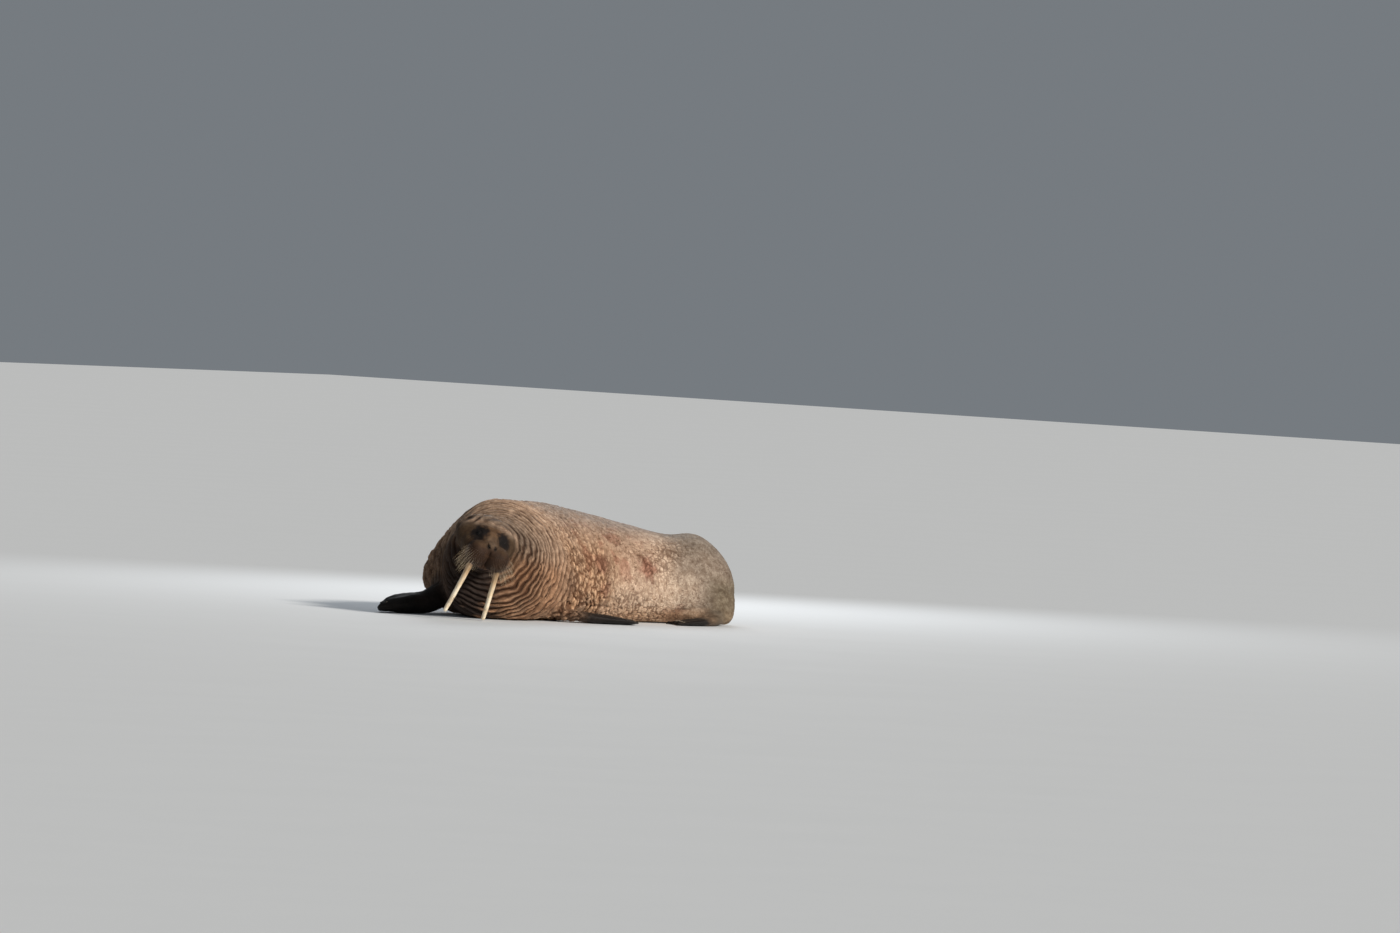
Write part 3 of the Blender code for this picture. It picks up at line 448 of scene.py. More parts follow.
def add_pad(mesh_edit, sign):
    """Add one swollen half of the upper lip, an ellipsoid drawn out towards a block."""
    middle = head_point(PAD_CENTRE.x, PAD_CENTRE.y * sign, PAD_CENTRE.z)
    for vertex in add_ball(mesh_edit, middle, PAD_RADII):
        offset = vertex.co - middle
        ways = (offset.dot(HEAD_F), offset.dot(HEAD_L), offset.dot(HEAD_U))
        spread = [math.copysign(abs(ways[k] / PAD_RADII[k]) ** PAD_SQUARE * PAD_RADII[k], ways[k]) for k in range(3)]
        vertex.co = middle + HEAD_F * spread[0] + HEAD_L * spread[1] + HEAD_U * spread[2]


def points_of(mesh):
    """A mesh's points as an array."""
    flat = np.empty(len(mesh.vertices) * 3, np.float32)
    mesh.vertices.foreach_get("co", flat)
    return flat.reshape(-1, 3).astype(float)


def normals_of(mesh):
    """A mesh's point normals as an array."""
    flat = np.empty(len(mesh.vertices) * 3, np.float32)
    mesh.vertex_normals.foreach_get("vector", flat)
    return flat.reshape(-1, 3).astype(float)


def set_points(mesh, points):
    """Move a mesh's points."""
    mesh.vertices.foreach_set("co", points.astype(np.float32).ravel())
    mesh.update()


def keep_largest(thing):
    """Keep only the part of a mesh that holds together with the most points."""
    mesh = thing.data
    count = len(mesh.vertices)
    edges = np.empty(len(mesh.edges) * 2, np.int32)
    mesh.edges.foreach_get("vertices", edges)
    edges = edges.reshape(-1, 2)
    label = np.arange(count)
    while True:
        low = np.minimum(label[edges[:, 0]], label[edges[:, 1]])
        new = label.copy()
        np.minimum.at(new, edges[:, 0], low)
        np.minimum.at(new, edges[:, 1], low)
        new = new[new]
        if np.array_equal(new, label):
            break
        label = new
    best = np.bincount(label).argmax()
    if np.all(label == best):
        return
    mesh_edit = bmesh.new()
    mesh_edit.from_mesh(mesh)
    mesh_edit.verts.ensure_lookup_table()
    loose = [mesh_edit.verts[int(i)] for i in np.flatnonzero(label != best)]
    bmesh.ops.delete(mesh_edit, geom=loose, context="VERTS")
    mesh_edit.to_mesh(mesh)
    mesh_edit.free()


def subdivide_near(thing, spots):
    """Halve the edges whose middles are within reach of any spot."""
    mesh_edit = bmesh.new()
    mesh_edit.from_mesh(thing.data)
    chosen = []
    for edge in mesh_edit.edges:
        middle = (edge.verts[0].co + edge.verts[1].co) * 0.5
        if any((middle - spot).length_squared < reach * reach for spot, reach in spots):
            chosen.append(edge)
    bmesh.ops.subdivide_edges(mesh_edit, edges=chosen, cuts=1, use_grid_fill=True)
    bmesh.ops.triangulate(mesh_edit, faces=[face for face in mesh_edit.faces if len(face.verts) > 4])
    mesh_edit.to_mesh(thing.data)
    mesh_edit.free()


# The hide: its shape


def eye_frame(sign):
    """An eye's centre, the way it looks, and two directions across it."""
    outwards = head_way(EYE_LOOK[0], EYE_LOOK[1] * sign, EYE_LOOK[2])
    across = outwards.cross(HEAD_U).normalized()
    return head_point(0.0, EYE_SPACING * sign, 0.0), outwards, across, across.cross(outwards).normalized()


def rough_hide(hide):
    """All flesh melted into one closed skin."""
    mesh_edit = bmesh.new()
    for name in FLESH:
        if name not in PADS:
            add_solid(mesh_edit, name, 0.0015)
    for sign in SIDES.values():
        add_pad(mesh_edit, sign)
        centre = eye_frame(sign)[0]
        add_ball(mesh_edit, centre, (EYE_RADIUS, EYE_RADIUS, EYE_RADIUS), 24)
    for centre, radii in PLUGS:
        add_ball(mesh_edit, head_point(*centre), radii, 48)
    skin = new_object("hide", mesh_edit)
    melt = skin.modifiers.new("melt", "REMESH")
    melt.mode = "VOXEL"
    melt.voxel_size = hide.grain
    baked(skin)
    keep_largest(skin)
    return skin


def soften(skin):
    """Smooth the trunk a lot and the head and flippers a little."""
    points = points_of(skin.data)
    along = TRUNK.straighten(points)[:, 0]
    weight = 0.10 + 0.90 * smoothstep(-0.02, 0.22, along)
    for limb in ALL_LIMBS.values():
        share, off = limb.measure(points)
        weight *= 1.0 - 0.90 * smoothstep(0.05, 0.25, share) * (1.0 - smoothstep(1.0, 1.5, off))
    group = skin.vertex_groups.new(name="soft")
    levels = np.round(weight * 20.0).astype(int)
    for level in np.unique(levels):
        group.add(np.flatnonzero(levels == level).tolist(), float(level) / 20.0, "REPLACE")
    smooth = skin.modifiers.new("soften", "SMOOTH")
    smooth.factor = 0.5
    smooth.iterations = 110
    smooth.vertex_group = "soft"
    baked(skin)
    skin.vertex_groups.clear()


def fold_count(hide, ring):
    """How many neck folds lie between the face and a point."""
    growth = (hide.fold_gap_far / hide.fold_gap - 1.0) / 0.8
    return np.log1p(growth * np.maximum(ring - 0.15, 0.0)) / (growth * hide.fold_gap)


def sculpt_eye(points, sign):
    """Move the points round an eye into lids with a slit and wrinkles."""
    centre, outwards, across, upwards = [np.array(v) for v in eye_frame(sign)]
    offset = points - centre
    near = np.flatnonzero((np.linalg.norm(offset, axis=1) < 0.060) & (offset @ outwards > -0.004))
    x = offset[near] @ across
    y = offset[near] @ upwards
    high = offset[near] @ outwards
    spread = np.hypot(x, y)
    slant = y + 0.10 * x
    half_high = np.where(slant > 0.0, 0.0082, 0.0070)
    ring = np.hypot(x / 0.0150, slant / half_high)
    lid = 0.0034
    ball = np.sqrt(np.maximum(EYE_RADIUS**2 - spread**2, 0.0))
    cover = np.sqrt(np.maximum((EYE_RADIUS + lid) ** 2 - spread**2, 0.0))
    shaped = np.maximum(cover, high)
    shaped += 0.0012 * bell(ring, 1.22, 0.14) * (spread < 0.03)
    shaped -= 0.0022 * bell(ring, 1.85, 0.16) * (spread < 0.045)
    shaped -= 0.0014 * bell(ring, 2.55, 0.20) * (spread < 0.050)
    shaped = np.maximum(shaped, ball + 0.0014)
    shaped = np.where(ring < 1.0, ball - 0.0060, shaped)
    share = 1.0 - smoothstep(0.024, 0.044, spread)
    new_high = high + (shaped - high) * share
    points[near] += outwards[None] * (new_high - high)[:, None]


def sculpt_face(points, normals):
    """Nostrils, the cleft of the lip, whisker rows, wrinkles of brow, eyes and cheeks, and ear pits, along the normals.
    """
    local = (points - np.array(HEAD_ORIGIN)) @ HEAD_AXES.T
    f, l, u = local.T
    side = np.abs(l)
    push = np.zeros(len(points))
    # nostrils: two crescents that open outwards
    x = (side - NOSTRIL[1]) * 0.80 + (u - NOSTRIL[2]) * 0.60
    y = -(side - NOSTRIL[1]) * 0.60 + (u - NOSTRIL[2]) * 0.80 - 22.0 * x * x + 0.001
    reach = (f > 0.12) & (np.abs(x) < 0.03) & (np.abs(y) < 0.03)
    slit = (1.0 - smoothstep(0.0012, 0.0050, np.abs(y))) * (1.0 - smoothstep(0.010, 0.0165, np.abs(x)))
    push -= reach * 0.011 * slit
    push += reach * 0.0016 * bell(np.abs(y), 0.0075, 0.0028) * (1.0 - smoothstep(0.012, 0.020, np.abs(x)))
    # the cleft between the two halves of the upper lip
    front = smoothstep(0.10, 0.15, f)
    push -= front * 0.0085 * np.exp(-((side / 0.0050) ** 2)) * smoothstep(-0.028, -0.050, u)
    # groove between nose and pads
    push -= front * 0.0030 * bell(np.hypot(side * 0.9, (u + 0.020) * 1.25), 0.062, 0.0075) * smoothstep(0.01, -0.02, u)
    # rows of little swellings where the whiskers stand
    rows = np.sin(u * 2.0 * math.pi / 0.0125)
    columns = np.sin(np.arctan2(side - 0.05, f) * 34.0 + np.sign(rows) * 0.8)
    on_pad = smoothstep(0.085, 0.125, f) * smoothstep(0.018, 0.040, side) * smoothstep(-0.190, -0.170, u)
    on_pad = on_pad * smoothstep(-0.028, -0.050, u)
    push += 0.0011 * on_pad * rows * columns
    # wrinkles across the brow and crown
    wave = np.abs(np.sin((f + 0.35 * side**2 / 0.1) * math.pi / 0.0165))
    brow = smoothstep(-0.01, 0.03, u) * smoothstep(0.02, -0.03, f) * smoothstep(-0.17, -0.12, f)
    brow = brow * smoothstep(0.13, 0.09, side)
    push -= 0.0030 * brow * (1.0 - wave)
    lines = brow * smoothstep(0.45, 0.05, wave)
    # wrinkles round the eyes, a heavy brow above each and a bag below
    loose = noise_at(points, 0.035, 81.0)
    for sign in SIDES.values():
        centre, outwards, across, upwards = [np.array(v) for v in eye_frame(sign)]
        offset = points - centre
        away = np.linalg.norm(offset, axis=1)
        ripple = np.abs(np.sin((away + 0.0035 * loose) * math.pi / 0.0112))
        round_eye = bell(away, 0.056, 0.020)
        push -= 0.0026 * (1.0 - ripple) * round_eye
        lines = np.maximum(lines, round_eye * smoothstep(0.45, 0.05, ripple))
        high = offset @ upwards
        sideways = offset @ across
        brow = bell(high, 0.034, 0.011) * bell(sideways, 0.0, 0.034) * smoothstep(0.075, 0.055, away)
        bag = bell(high, -0.032, 0.009) * bell(sideways, 0.0, 0.030) * smoothstep(0.070, 0.050, away)
        push += 0.0042 * brow + 0.0026 * bag
        push -= 0.0030 * bell(high, 0.020, 0.0045) * bell(sideways, 0.0, 0.030) * (away > 0.012)
    # long folds down the cheek behind the corner of the mouth
    cheek = smoothstep(0.05, 0.11, side) * smoothstep(0.10, 0.03, f) * smoothstep(-0.10, -0.04, f)
    cheek = cheek * smoothstep(0.01, -0.03, u) * smoothstep(-0.21, -0.17, u)
    pleat = np.abs(np.sin((f + 0.25 * u + 0.006 * loose) * math.pi / 0.021))
    push -= 0.0032 * cheek * (1.0 - pleat)
    lines = np.maximum(lines, cheek * smoothstep(0.45, 0.05, pleat))
    # ear pits
    ear = np.linalg.norm(np.stack((f, side, u), axis=1) - np.array(EAR), axis=1)
    push += 0.0025 * bell(ear, 0.017, 0.006) - 0.012 * bell(ear, 0.0, 0.0075)
    points += normals * push[:, None]
    return on_pad, lines


def crease_lines(points, normals):
    """Long creases at the thigh and behind the shoulder, given in the level frame's X and Z."""
    turn = np.array(BODY_TURN)
    level = (points - np.array(SHIFT)) @ turn
    facing = (normals @ turn)[:, 1] < 0.1
    lines = (
        ((0.80, 0.300), (0.90, 0.268), (1.00, 0.290), (1.12, 0.330), (1.22, 0.345)),
        ((1.02, 0.330), (1.08, 0.352), (1.17, 0.356)),
        ((0.86, 0.085), (0.95, 0.110), (1.08, 0.140)),
    )
    soft = np.zeros(len(points))
    sharp = np.zeros(len(points))
    wobble = noise_at(points, 0.05, 51.0) * 0.010
    for line in lines:
        line = np.array(line)
        for number, (start, end) in enumerate(zip(line, line[1:])):
            run = end - start
            offset = level[:, [0, 2]] - start
            offset[:, 1] += wobble
            share = np.clip((offset @ run) / (run @ run), 0.0, 1.0)
            far = np.linalg.norm(offset - share[:, None] * run, axis=1)
            place = (number + share) / (len(line) - 1)
            taper = facing * np.sin(math.pi * np.clip(place, 0.02, 0.98)) ** 0.6
            soft = np.maximum(soft, taper * np.exp(-((far / 0.026) ** 2)))
            sharp = np.maximum(sharp, taper * np.exp(-((far / 0.0065) ** 2)))
    return soft, sharp * (0.55 + 0.45 * noise_at(points, 0.04, 61.0))


class Hide:
    """Measures of every point of the hide that its folds, colours and coat are worked out from."""

    def __init__(self, points):
        self.points = points
        self.straight = TRUNK.straighten(points)
        self.along, self.left, self.above = self.straight.T
        self.angle = np.abs(np.arctan2(self.left, self.above))
        self.local = (points - np.array(HEAD_ORIGIN)) @ HEAD_AXES.T
        f, l, u = self.local.T
        self.ring = np.linalg.norm(self.local - np.array(RING_CENTRE), axis=1)
        self.edge = f + 0.062 + 0.045 * smoothstep(0.10, 0.22, np.abs(l))
        self.edge -= 1.3 * np.maximum(np.abs(l) - 0.235, 0.0) + 0.9 * np.maximum(-u - 0.215, 0.0)
        self.limb = np.zeros(len(points))
        self.hand = np.zeros(len(points))
        self.hind = np.zeros(len(points))
        for name, limb in ALL_LIMBS.items():
            share, off = limb.measure(points)
            close = 1.0 - smoothstep(1.0, 1.45, off)
            start = LIMB_STARTS.get(name, -0.05)
            self.limb = np.maximum(self.limb, close * smoothstep(start, start + 0.25, share))
            self.hand = np.maximum(self.hand, close * smoothstep(0.45, 0.62, share))
            if name.startswith("hind"):
                self.hind = np.maximum(self.hind, close)

    def neck(self):
        """1 on the folded neck, 0 on the face and behind the shoulder."""
        f, _, u = self.local.T
        throat = smoothstep(-0.200, -0.240, u) * smoothstep(0.09, 0.02, f)
        start = np.maximum(smoothstep(0.012, -0.030, self.edge), throat)
        start = start * (0.55 + 0.45 * smoothstep(0.0, 0.12, self.ring - 0.20))
        high = smoothstep(1.35, 0.75, self.angle)
        return start * (1.0 - smoothstep(0.62 + 0.24 * high, 1.05 + 0.20 * high, self.along)) * (1.0 - self.limb)

    def shoulder(self):
        """1 where the hide is knobbly."""
        low = 0.25 + 0.75 * smoothstep(0.55, 1.45, self.angle)
        far = smoothstep(0.42, 0.75, self.along) * (1.0 - smoothstep(1.25, 1.80, self.along))
        return low * far * (1.0 - self.limb)


def sculpt_hide(skin, hide):
    """Fold, crack and model the whole hide, and keep the measures for its colours."""
    mesh = skin.data
    points = points_of(mesh)
    normals = normals_of(mesh)
    measures = Hide(points)
    straight = measures.straight
    body = smoothstep(-0.02, 0.15, measures.along) * (1.0 - measures.limb)
    wander = noise_at(straight, 0.24, 3.1)
    small = noise_at(straight, 0.075, 7.7)
    count = fold_count(hide, measures.ring) + 0.85 * wander + 0.48 * small
    strength = 0.92 + 0.50 * noise_at(straight, 0.13, 11.0) + 0.28 * noise_at(straight, 0.055, 17.0)
    strength *= 0.80 + 0.20 * smoothstep(0.20, 0.90, measures.angle)
    folds = measures.neck() * np.clip(strength, 0.20, 1.0)
    fold = (1.0 - np.abs(np.sin(math.pi * count)) ** 0.95) * folds
    stretched = straight * np.array((1.0, 0.72, 0.72))
    warp = np.stack((wander, small, wander - small), axis=1) * 0.012
    ragged = np.stack([noise_at(straight, 0.034, seed) for seed in (101.0, 111.0, 121.0)], axis=1) * 0.010
    knob_gap = cells_at(stretched + warp + ragged, hide.boss_size, 5.0)
    broken = 1.0 - 0.60 * smoothstep(0.25, -0.30, noise_at(straight, 0.22, 131.0))
    away = smoothstep(0.05, -0.10, measures.left)
    knobs = measures.shoulder() * (1.0 - away + away * 0.60 * broken)
    cleft = np.exp(-((knob_gap / 0.20) ** 2)) * knobs
    crack_gap = cells_at(stretched + warp * 1.5 + ragged * 0.7, 0.036, 21.0)
    patch = (0.35 + 0.65 * smoothstep(-0.30, 0.30, noise_at(straight, 0.30, 2.2))) * body * (1.0 - 0.5 * knobs)
    patch *= smoothstep(0.50, 1.0, measures.along) * (0.35 + 0.65 * smoothstep(0.35, 0.9, measures.angle))
    patch *= 1.0 - 0.5 * smoothstep(2.1, 2.5, measures.along)
    crack = np.exp(-((crack_gap / 0.14) ** 2)) * patch
    soft, sharp = crease_lines(points, normals)
    blubber = 0.5 + 0.5 * noise_at(straight, 0.26, 31.0)
    lumps = 0.5 + 0.5 * noise_at(straight, 0.085, 41.0)
    push = -hide.fold_depth * fold * (1.0 + 0.4 * smoothstep(1.6, 2.4, measures.angle))
    push -= hide.boss_depth * cleft + 0.0048 * crack
    push += knobs * 0.0055 * np.minimum(knob_gap, 0.6)
    push -= body * (0.0050 * blubber + 0.0035 * lumps)
    push -= 0.008 * soft + 0.005 * sharp
    push -= hide.under_coat * (1.0 - 0.6 * measures.hand)
    wrinkle = np.abs(np.sin(noise_at(points, 0.05, 4.0) * 5.0 + straight[:, 0] * 60.0))
    push -= 0.0018 * measures.limb * (1.0 - wrinkle)
    points = points + normals * push[:, None]
    set_points(mesh, points)
    normals = normals_of(mesh)
    on_pad, lines = sculpt_face(points, normals)
    for sign in SIDES.values():
        sculpt_eye(points, sign)
    points[:, 2] = np.maximum(points[:, 2], 0.0012)
    set_points(mesh, points)
    put(mesh, "count", count)
    put(mesh, "folds", folds)
    put(mesh, "knob_gap", knob_gap)
    put(mesh, "knobs", knobs)
    put(mesh, "crack_gap", crack_gap)
    put(mesh, "patch", patch)
    # narrow creases and the face's wrinkles, which the hide's colour later paints darker as shade
    put(mesh, "sharp", np.maximum(sharp, 0.8 * lines))
    put(mesh, "pad", on_pad)


def put(mesh, name, values):
    """Store one number or one colour for each point."""
    values = np.asarray(values, np.float32)
    if values.ndim == 1:
        layer = mesh.attributes.get(name) or mesh.attributes.new(name, "FLOAT", "POINT")
        layer.data.foreach_set("value", values)
    elif name in ("straight", "root"):
        layer = mesh.attributes.get(name) or mesh.attributes.new(name, "FLOAT_VECTOR", "POINT")
        layer.data.foreach_set("vector", values.ravel())
    else:
        layer = mesh.attributes.get(name) or mesh.attributes.new(name, "FLOAT_COLOR", "POINT")
        flat = np.ones((len(values), 4), np.float32)
        flat[:, :3] = values
        layer.data.foreach_set("color", flat.ravel())


def get(mesh, name):
    """Read the number, vector or colour stored for each point."""
    layer = mesh.attributes[name]
    key, width = {"FLOAT": ("value", 1), "FLOAT_VECTOR": ("vector", 3), "FLOAT_COLOR": ("color", 4)}[layer.data_type]
    values = np.empty(len(mesh.vertices) * width, np.float32)
    layer.data.foreach_get(key, values)
    values = values.astype(float)
    return values if width == 1 else values.reshape(-1, width)[:, :3]


# The hide: its colours


def toward(colours, colour, share):
    """Mix a colour in, by a share at each point."""
    share = np.clip(share, 0.0, 1.0)[:, None]
    return colours * (1.0 - share) + np.array(colour)[None] * share


def markings(measures, paint):
    """The large markings of hide and coat, with painted light and shade in places: the same function gives both."""
    straight = measures.straight
    along = measures.along
    angle = measures.angle
    points = measures.points
    f, l, u = measures.local.T
    broad = noise_at(straight, 0.38, 1.5)
    middle = noise_at(straight, 0.13, 8.5)
    small = noise_at(straight, 0.045, 15.5)
    colours = np.tile(np.array(paint.tan), (len(points), 1))
    # paler low on the flank: partly the hide's own colour, partly painted light bounced up from the floor
    low = smoothstep(0.50, 0.12, points[:, 2]) * smoothstep(0.95, 1.6, along)
    colours = toward(colours, paint.pale, low * (0.60 + 0.30 * broad) + 0.20 * smoothstep(0.1, 0.6, middle))
    top = smoothstep(1.05, 0.35, angle) * smoothstep(0.45, 1.1, along)
    colours = toward(colours, paint.grey, top * (0.85 + 0.3 * middle))
    colours = toward(colours, paint.rump, 0.85 * smoothstep(1.95, 2.30, along + 0.12 * broad))
    # paler low on the thigh: partly the hide's own colour, partly painted light bounced up from the floor
    thigh = smoothstep(1.75, 2.05, along) * smoothstep(2.52, 2.36, along) * smoothstep(0.46, 0.22, points[:, 2])
    colours = toward(colours, paint.pale, 0.50 * thigh * (0.8 + 0.4 * middle))
    saddle = bell(along, 2.08, 0.17) * smoothstep(0.25, 0.55, angle)
    colours = toward(colours, paint.pale, 0.32 * saddle)
    colours = toward(colours, paint.orange, measures.shoulder() * (0.60 + 0.5 * middle) * smoothstep(0.6, 1.3, angle))
    sore = smoothstep(0.16, 0.50, middle + 0.4 * small) * smoothstep(0.75, 1.0, along) * smoothstep(2.1, 1.8, along)
    colours = toward(colours, paint.rust, 0.55 * sore * bell(angle, 1.20, 0.60))
    for place, size, share in SORES:
        away = np.linalg.norm(points - np.array(place), axis=1) + 0.040 * middle + 0.045 * small
        colours = toward(colours, paint.rust, share * smoothstep(size * 1.25, size * 0.45, away))
    colours = toward(colours, paint.orange, 0.6 * smoothstep(0.15, 0.05, points[:, 2]) * smoothstep(1.4, 1.8, along))
    front = 1.0 - smoothstep(0.35, 0.95, along + 0.1 * middle)
    colours = toward(colours, paint.neck, 0.90 * front)
    colours = toward(colours, paint.low_neck, front * smoothstep(1.15, 1.75, angle) * (0.75 + 0.3 * middle))
    heel = smoothstep(2.42, 2.60, along) * smoothstep(0.42, 0.25, points[:, 2])
    colours = toward(colours, paint.heel, 0.8 * heel)
    # painted shade: the neck's underside, except on its lit left side, and the neck and chest on the animal's right
    # side, away from the key light, take the dark throat colour
    under = smoothstep(1.95, 2.45, angle) * (1.0 - smoothstep(0.55, 0.95, along))
    under *= smoothstep(0.14, 0.0, measures.left)
    colours = toward(colours, paint.throat, 0.80 * under)
    shade = smoothstep(0.07, -0.07, measures.left) * smoothstep(0.75, 1.35, angle) * (1.0 - smoothstep(0.5, 0.9, along))
    colours = toward(colours, paint.throat, 0.85 * shade)
    head = 0.55 * smoothstep(0.60, 0.20, along) + 0.45 * smoothstep(0.34, 0.02, along)
    colours = toward(colours, paint.crown, head * smoothstep(1.75, 1.0, angle) * 0.9)
    side = np.abs(l)
    edge = measures.edge + 0.012 * middle
    # a lighter band along the top edge of the face: painted highlight on the ridge of the first neck fold
    rim = bell(edge, -0.030, 0.014) * smoothstep(0.02, 0.05, u + 0.5 * side)
    colours = toward(colours, paint.neck, 0.55 * rim)
    # darker beside the lower face: painted shade of the folds next to the face
    cheek = bell(edge, -0.045, 0.045) * smoothstep(0.02, -0.06, u) * smoothstep(0.12, 0.20, side)
    colours = toward(colours, paint.face, 0.55 * cheek)
    colours = toward(colours, paint.face, smoothstep(-0.026, 0.022, edge))
    muzzle = smoothstep(0.03, 0.09, f) * smoothstep(0.005, -0.03, u)
    colours = toward(colours, paint.muzzle, 0.92 * muzzle)
    # lighter on the brows and on the top of the muzzle: painted highlights
    brow = bell(u, 0.045, 0.045) * bell(side, 0.055, 0.075) * smoothstep(-0.10, -0.02, f)
    colours = toward(colours, paint.low_neck, 0.24 * brow)
    bridge_highlight = bell(u, 0.008, 0.022) * bell(side, 0.0, 0.05) * smoothstep(0.02, 0.07, f)
    colours = toward(colours, paint.crown, 0.30 * bridge_highlight)
    ragged = 0.018 * small + 0.020 * noise_at(points, 0.014, 91.0)
    for sign in SIDES.values():
        eye = np.linalg.norm(points - np.array(eye_frame(sign)[0]), axis=1)
        colours = toward(colours, paint.dark, 0.99 * smoothstep(0.096, 0.052, eye + ragged))
    # painted shade in and round the nostril openings, and in the ear pits
    nose = np.hypot((side - NOSTRIL[1]) * 1.1, u - NOSTRIL[2])
    colours = toward(colours, paint.dark, 0.85 * smoothstep(0.019, 0.009, nose) * smoothstep(0.13, 0.15, f))
    ear = np.linalg.norm(np.stack((f, side, u), axis=1) - np.array(EAR), axis=1)
    colours = toward(colours, paint.dark, 0.85 * smoothstep(0.016, 0.007, ear))
    lip = bell(u, -0.187, 0.010) * bell(side, 0.045, 0.035) * smoothstep(0.07, 0.10, f)
    colours = toward(colours, paint.lip, 0.75 * lip)
    # painted shade: the mouth under the chin goes near black, and the throat below, away from the light, takes the dark
    # throat colour as a painted shadow of the head, partly the throat's own colour
    throat = smoothstep(-0.175, -0.205, u) * smoothstep(0.22, 0.15, side) * (along < 0.4)
    colours = toward(colours, paint.dark, 0.75 * throat * smoothstep(-0.08, 0.0, f))
    below = smoothstep(-0.190, -0.240, u) * smoothstep(0.215, 0.135, l + 0.03 * middle)
    colours = toward(colours, paint.throat, 0.88 * below * smoothstep(-0.24, -0.13, f))
    colours = toward(colours, paint.throat, measures.limb * (1.0 - 0.4 * measures.hind))
    colours = toward(colours, paint.flipper, np.maximum(measures.hand, 0.6 * measures.limb * (1.0 - measures.hind)))
    mottle = 1.0 + 0.13 * middle + 0.12 * small
    return np.clip(colours * mottle[:, None], 0.0, 1.0)


class Recipe:
    """A material written as a chain of shader nodes."""

    def __init__(self, name, roughness=0.6):
        self.material = bpy.data.materials.new(name)
        self.material.use_nodes = True
        self.tree = self.material.node_tree
        self.shader = self.tree.nodes["Principled BSDF"]
        self.shader.inputs["Roughness"].default_value = roughness

    def node(self, kind, **settings):
        """A new node with its settings."""
        made = self.tree.nodes.new("ShaderNode" + kind)
        for key, value in settings.items():
            setattr(made, key, value)
        return made

    def join(self, source, socket):
        """Link an output, or set a plain value, to a socket."""
        if isinstance(source, bpy.types.NodeSocket):
            self.tree.links.new(source, socket)
        else:
            socket.default_value = source

    def place(self):
        """The object's own coordinates."""
        return self.node("TexCoord").outputs["Object"]

    def stored(self, name, output="Fac"):
        """What is stored on the points under a name."""
        return self.node("Attribute", attribute_name=name).outputs[output]

    def sum(self, operation, a, b=0.0, c=0.0):
        """One sum on two or three numbers."""
        made = self.node("Math", operation=operation)
        for socket, value in zip(made.inputs, (a, b, c)):
            self.join(value, socket)
        return made.outputs[0]

    def stretch(self, vector, scale):
        """A vector scaled along its three axes."""
        made = self.node("VectorMath", operation="MULTIPLY")
        self.join(vector, made.inputs[0])
        made.inputs[1].default_value = scale
        return made.outputs[0]

    def warp(self, vector, amount, scale):
        """A vector moved about by noise."""
        wobble = self.node("TexNoise")
        self.join(vector, wobble.inputs["Vector"])
        wobble.inputs["Scale"].default_value = scale
        wobble.inputs["Detail"].default_value = 2.0
        made = self.node("VectorMath", operation="MULTIPLY_ADD")
        self.join(wobble.outputs["Color"], made.inputs[0])
        made.inputs[1].default_value = (amount, amount, amount)
        self.join(vector, made.inputs[2])
        return made.outputs[0]

    def clouds(self, vector, scale, detail=3.0, roughness=0.55):
        """Soft noise from 0 to 1."""
        made = self.node("TexNoise")
        self.join(vector, made.inputs["Vector"])
        made.inputs["Scale"].default_value = scale
        made.inputs["Detail"].default_value = detail
        made.inputs["Roughness"].default_value = roughness
        return made.outputs["Fac"]

    def cells(self, vector, scale, feature="DISTANCE_TO_EDGE"):
        """Distance to the border of irregular cells."""
        made = self.node("TexVoronoi", feature=feature)
        self.join(vector, made.inputs["Vector"])
        made.inputs["Scale"].default_value = scale
        return made.outputs["Distance"]

    def ramp(self, value, low, high, start=0.0, end=1.0):
        """A soft ramp of a number between two others."""
        made = self.node("MapRange", interpolation_type="SMOOTHSTEP")
        for socket, given in zip(made.inputs, (value, low, high, start, end)):
            self.join(given, socket)
        return made.outputs[0]

    def mix(self, share, a, b, blend="MIX"):
        """A share of the way from one colour to another."""
        made = self.node("Mix", data_type="RGBA", blend_type=blend)
        self.join(share, made.inputs[0])
        for value, socket in ((a, made.inputs[6]), (b, made.inputs[7])):
            if not isinstance(value, bpy.types.NodeSocket):
                value = (*value[:3], 1.0)
            self.join(value, socket)
        return made.outputs[2]

    def bump(self, height, distance, normal=None):
        """Relief of a height in metres."""
        made = self.node("Bump")
        made.inputs["Strength"].default_value = 1.0
        made.inputs["Distance"].default_value = distance
        self.join(height, made.inputs["Height"])
        if normal is not None:
            self.join(normal, made.inputs["Normal"])
        return made.outputs["Normal"]

    def finish(self, colour, roughness=None, normal=None):
        """Join colour, roughness and relief to the shader."""
        self.join(colour, self.shader.inputs["Base Color"])
        if roughness is not None:
            self.join(roughness, self.shader.inputs["Roughness"])
        if normal is not None:
            self.join(normal, self.shader.inputs["Normal"])
        return self.material


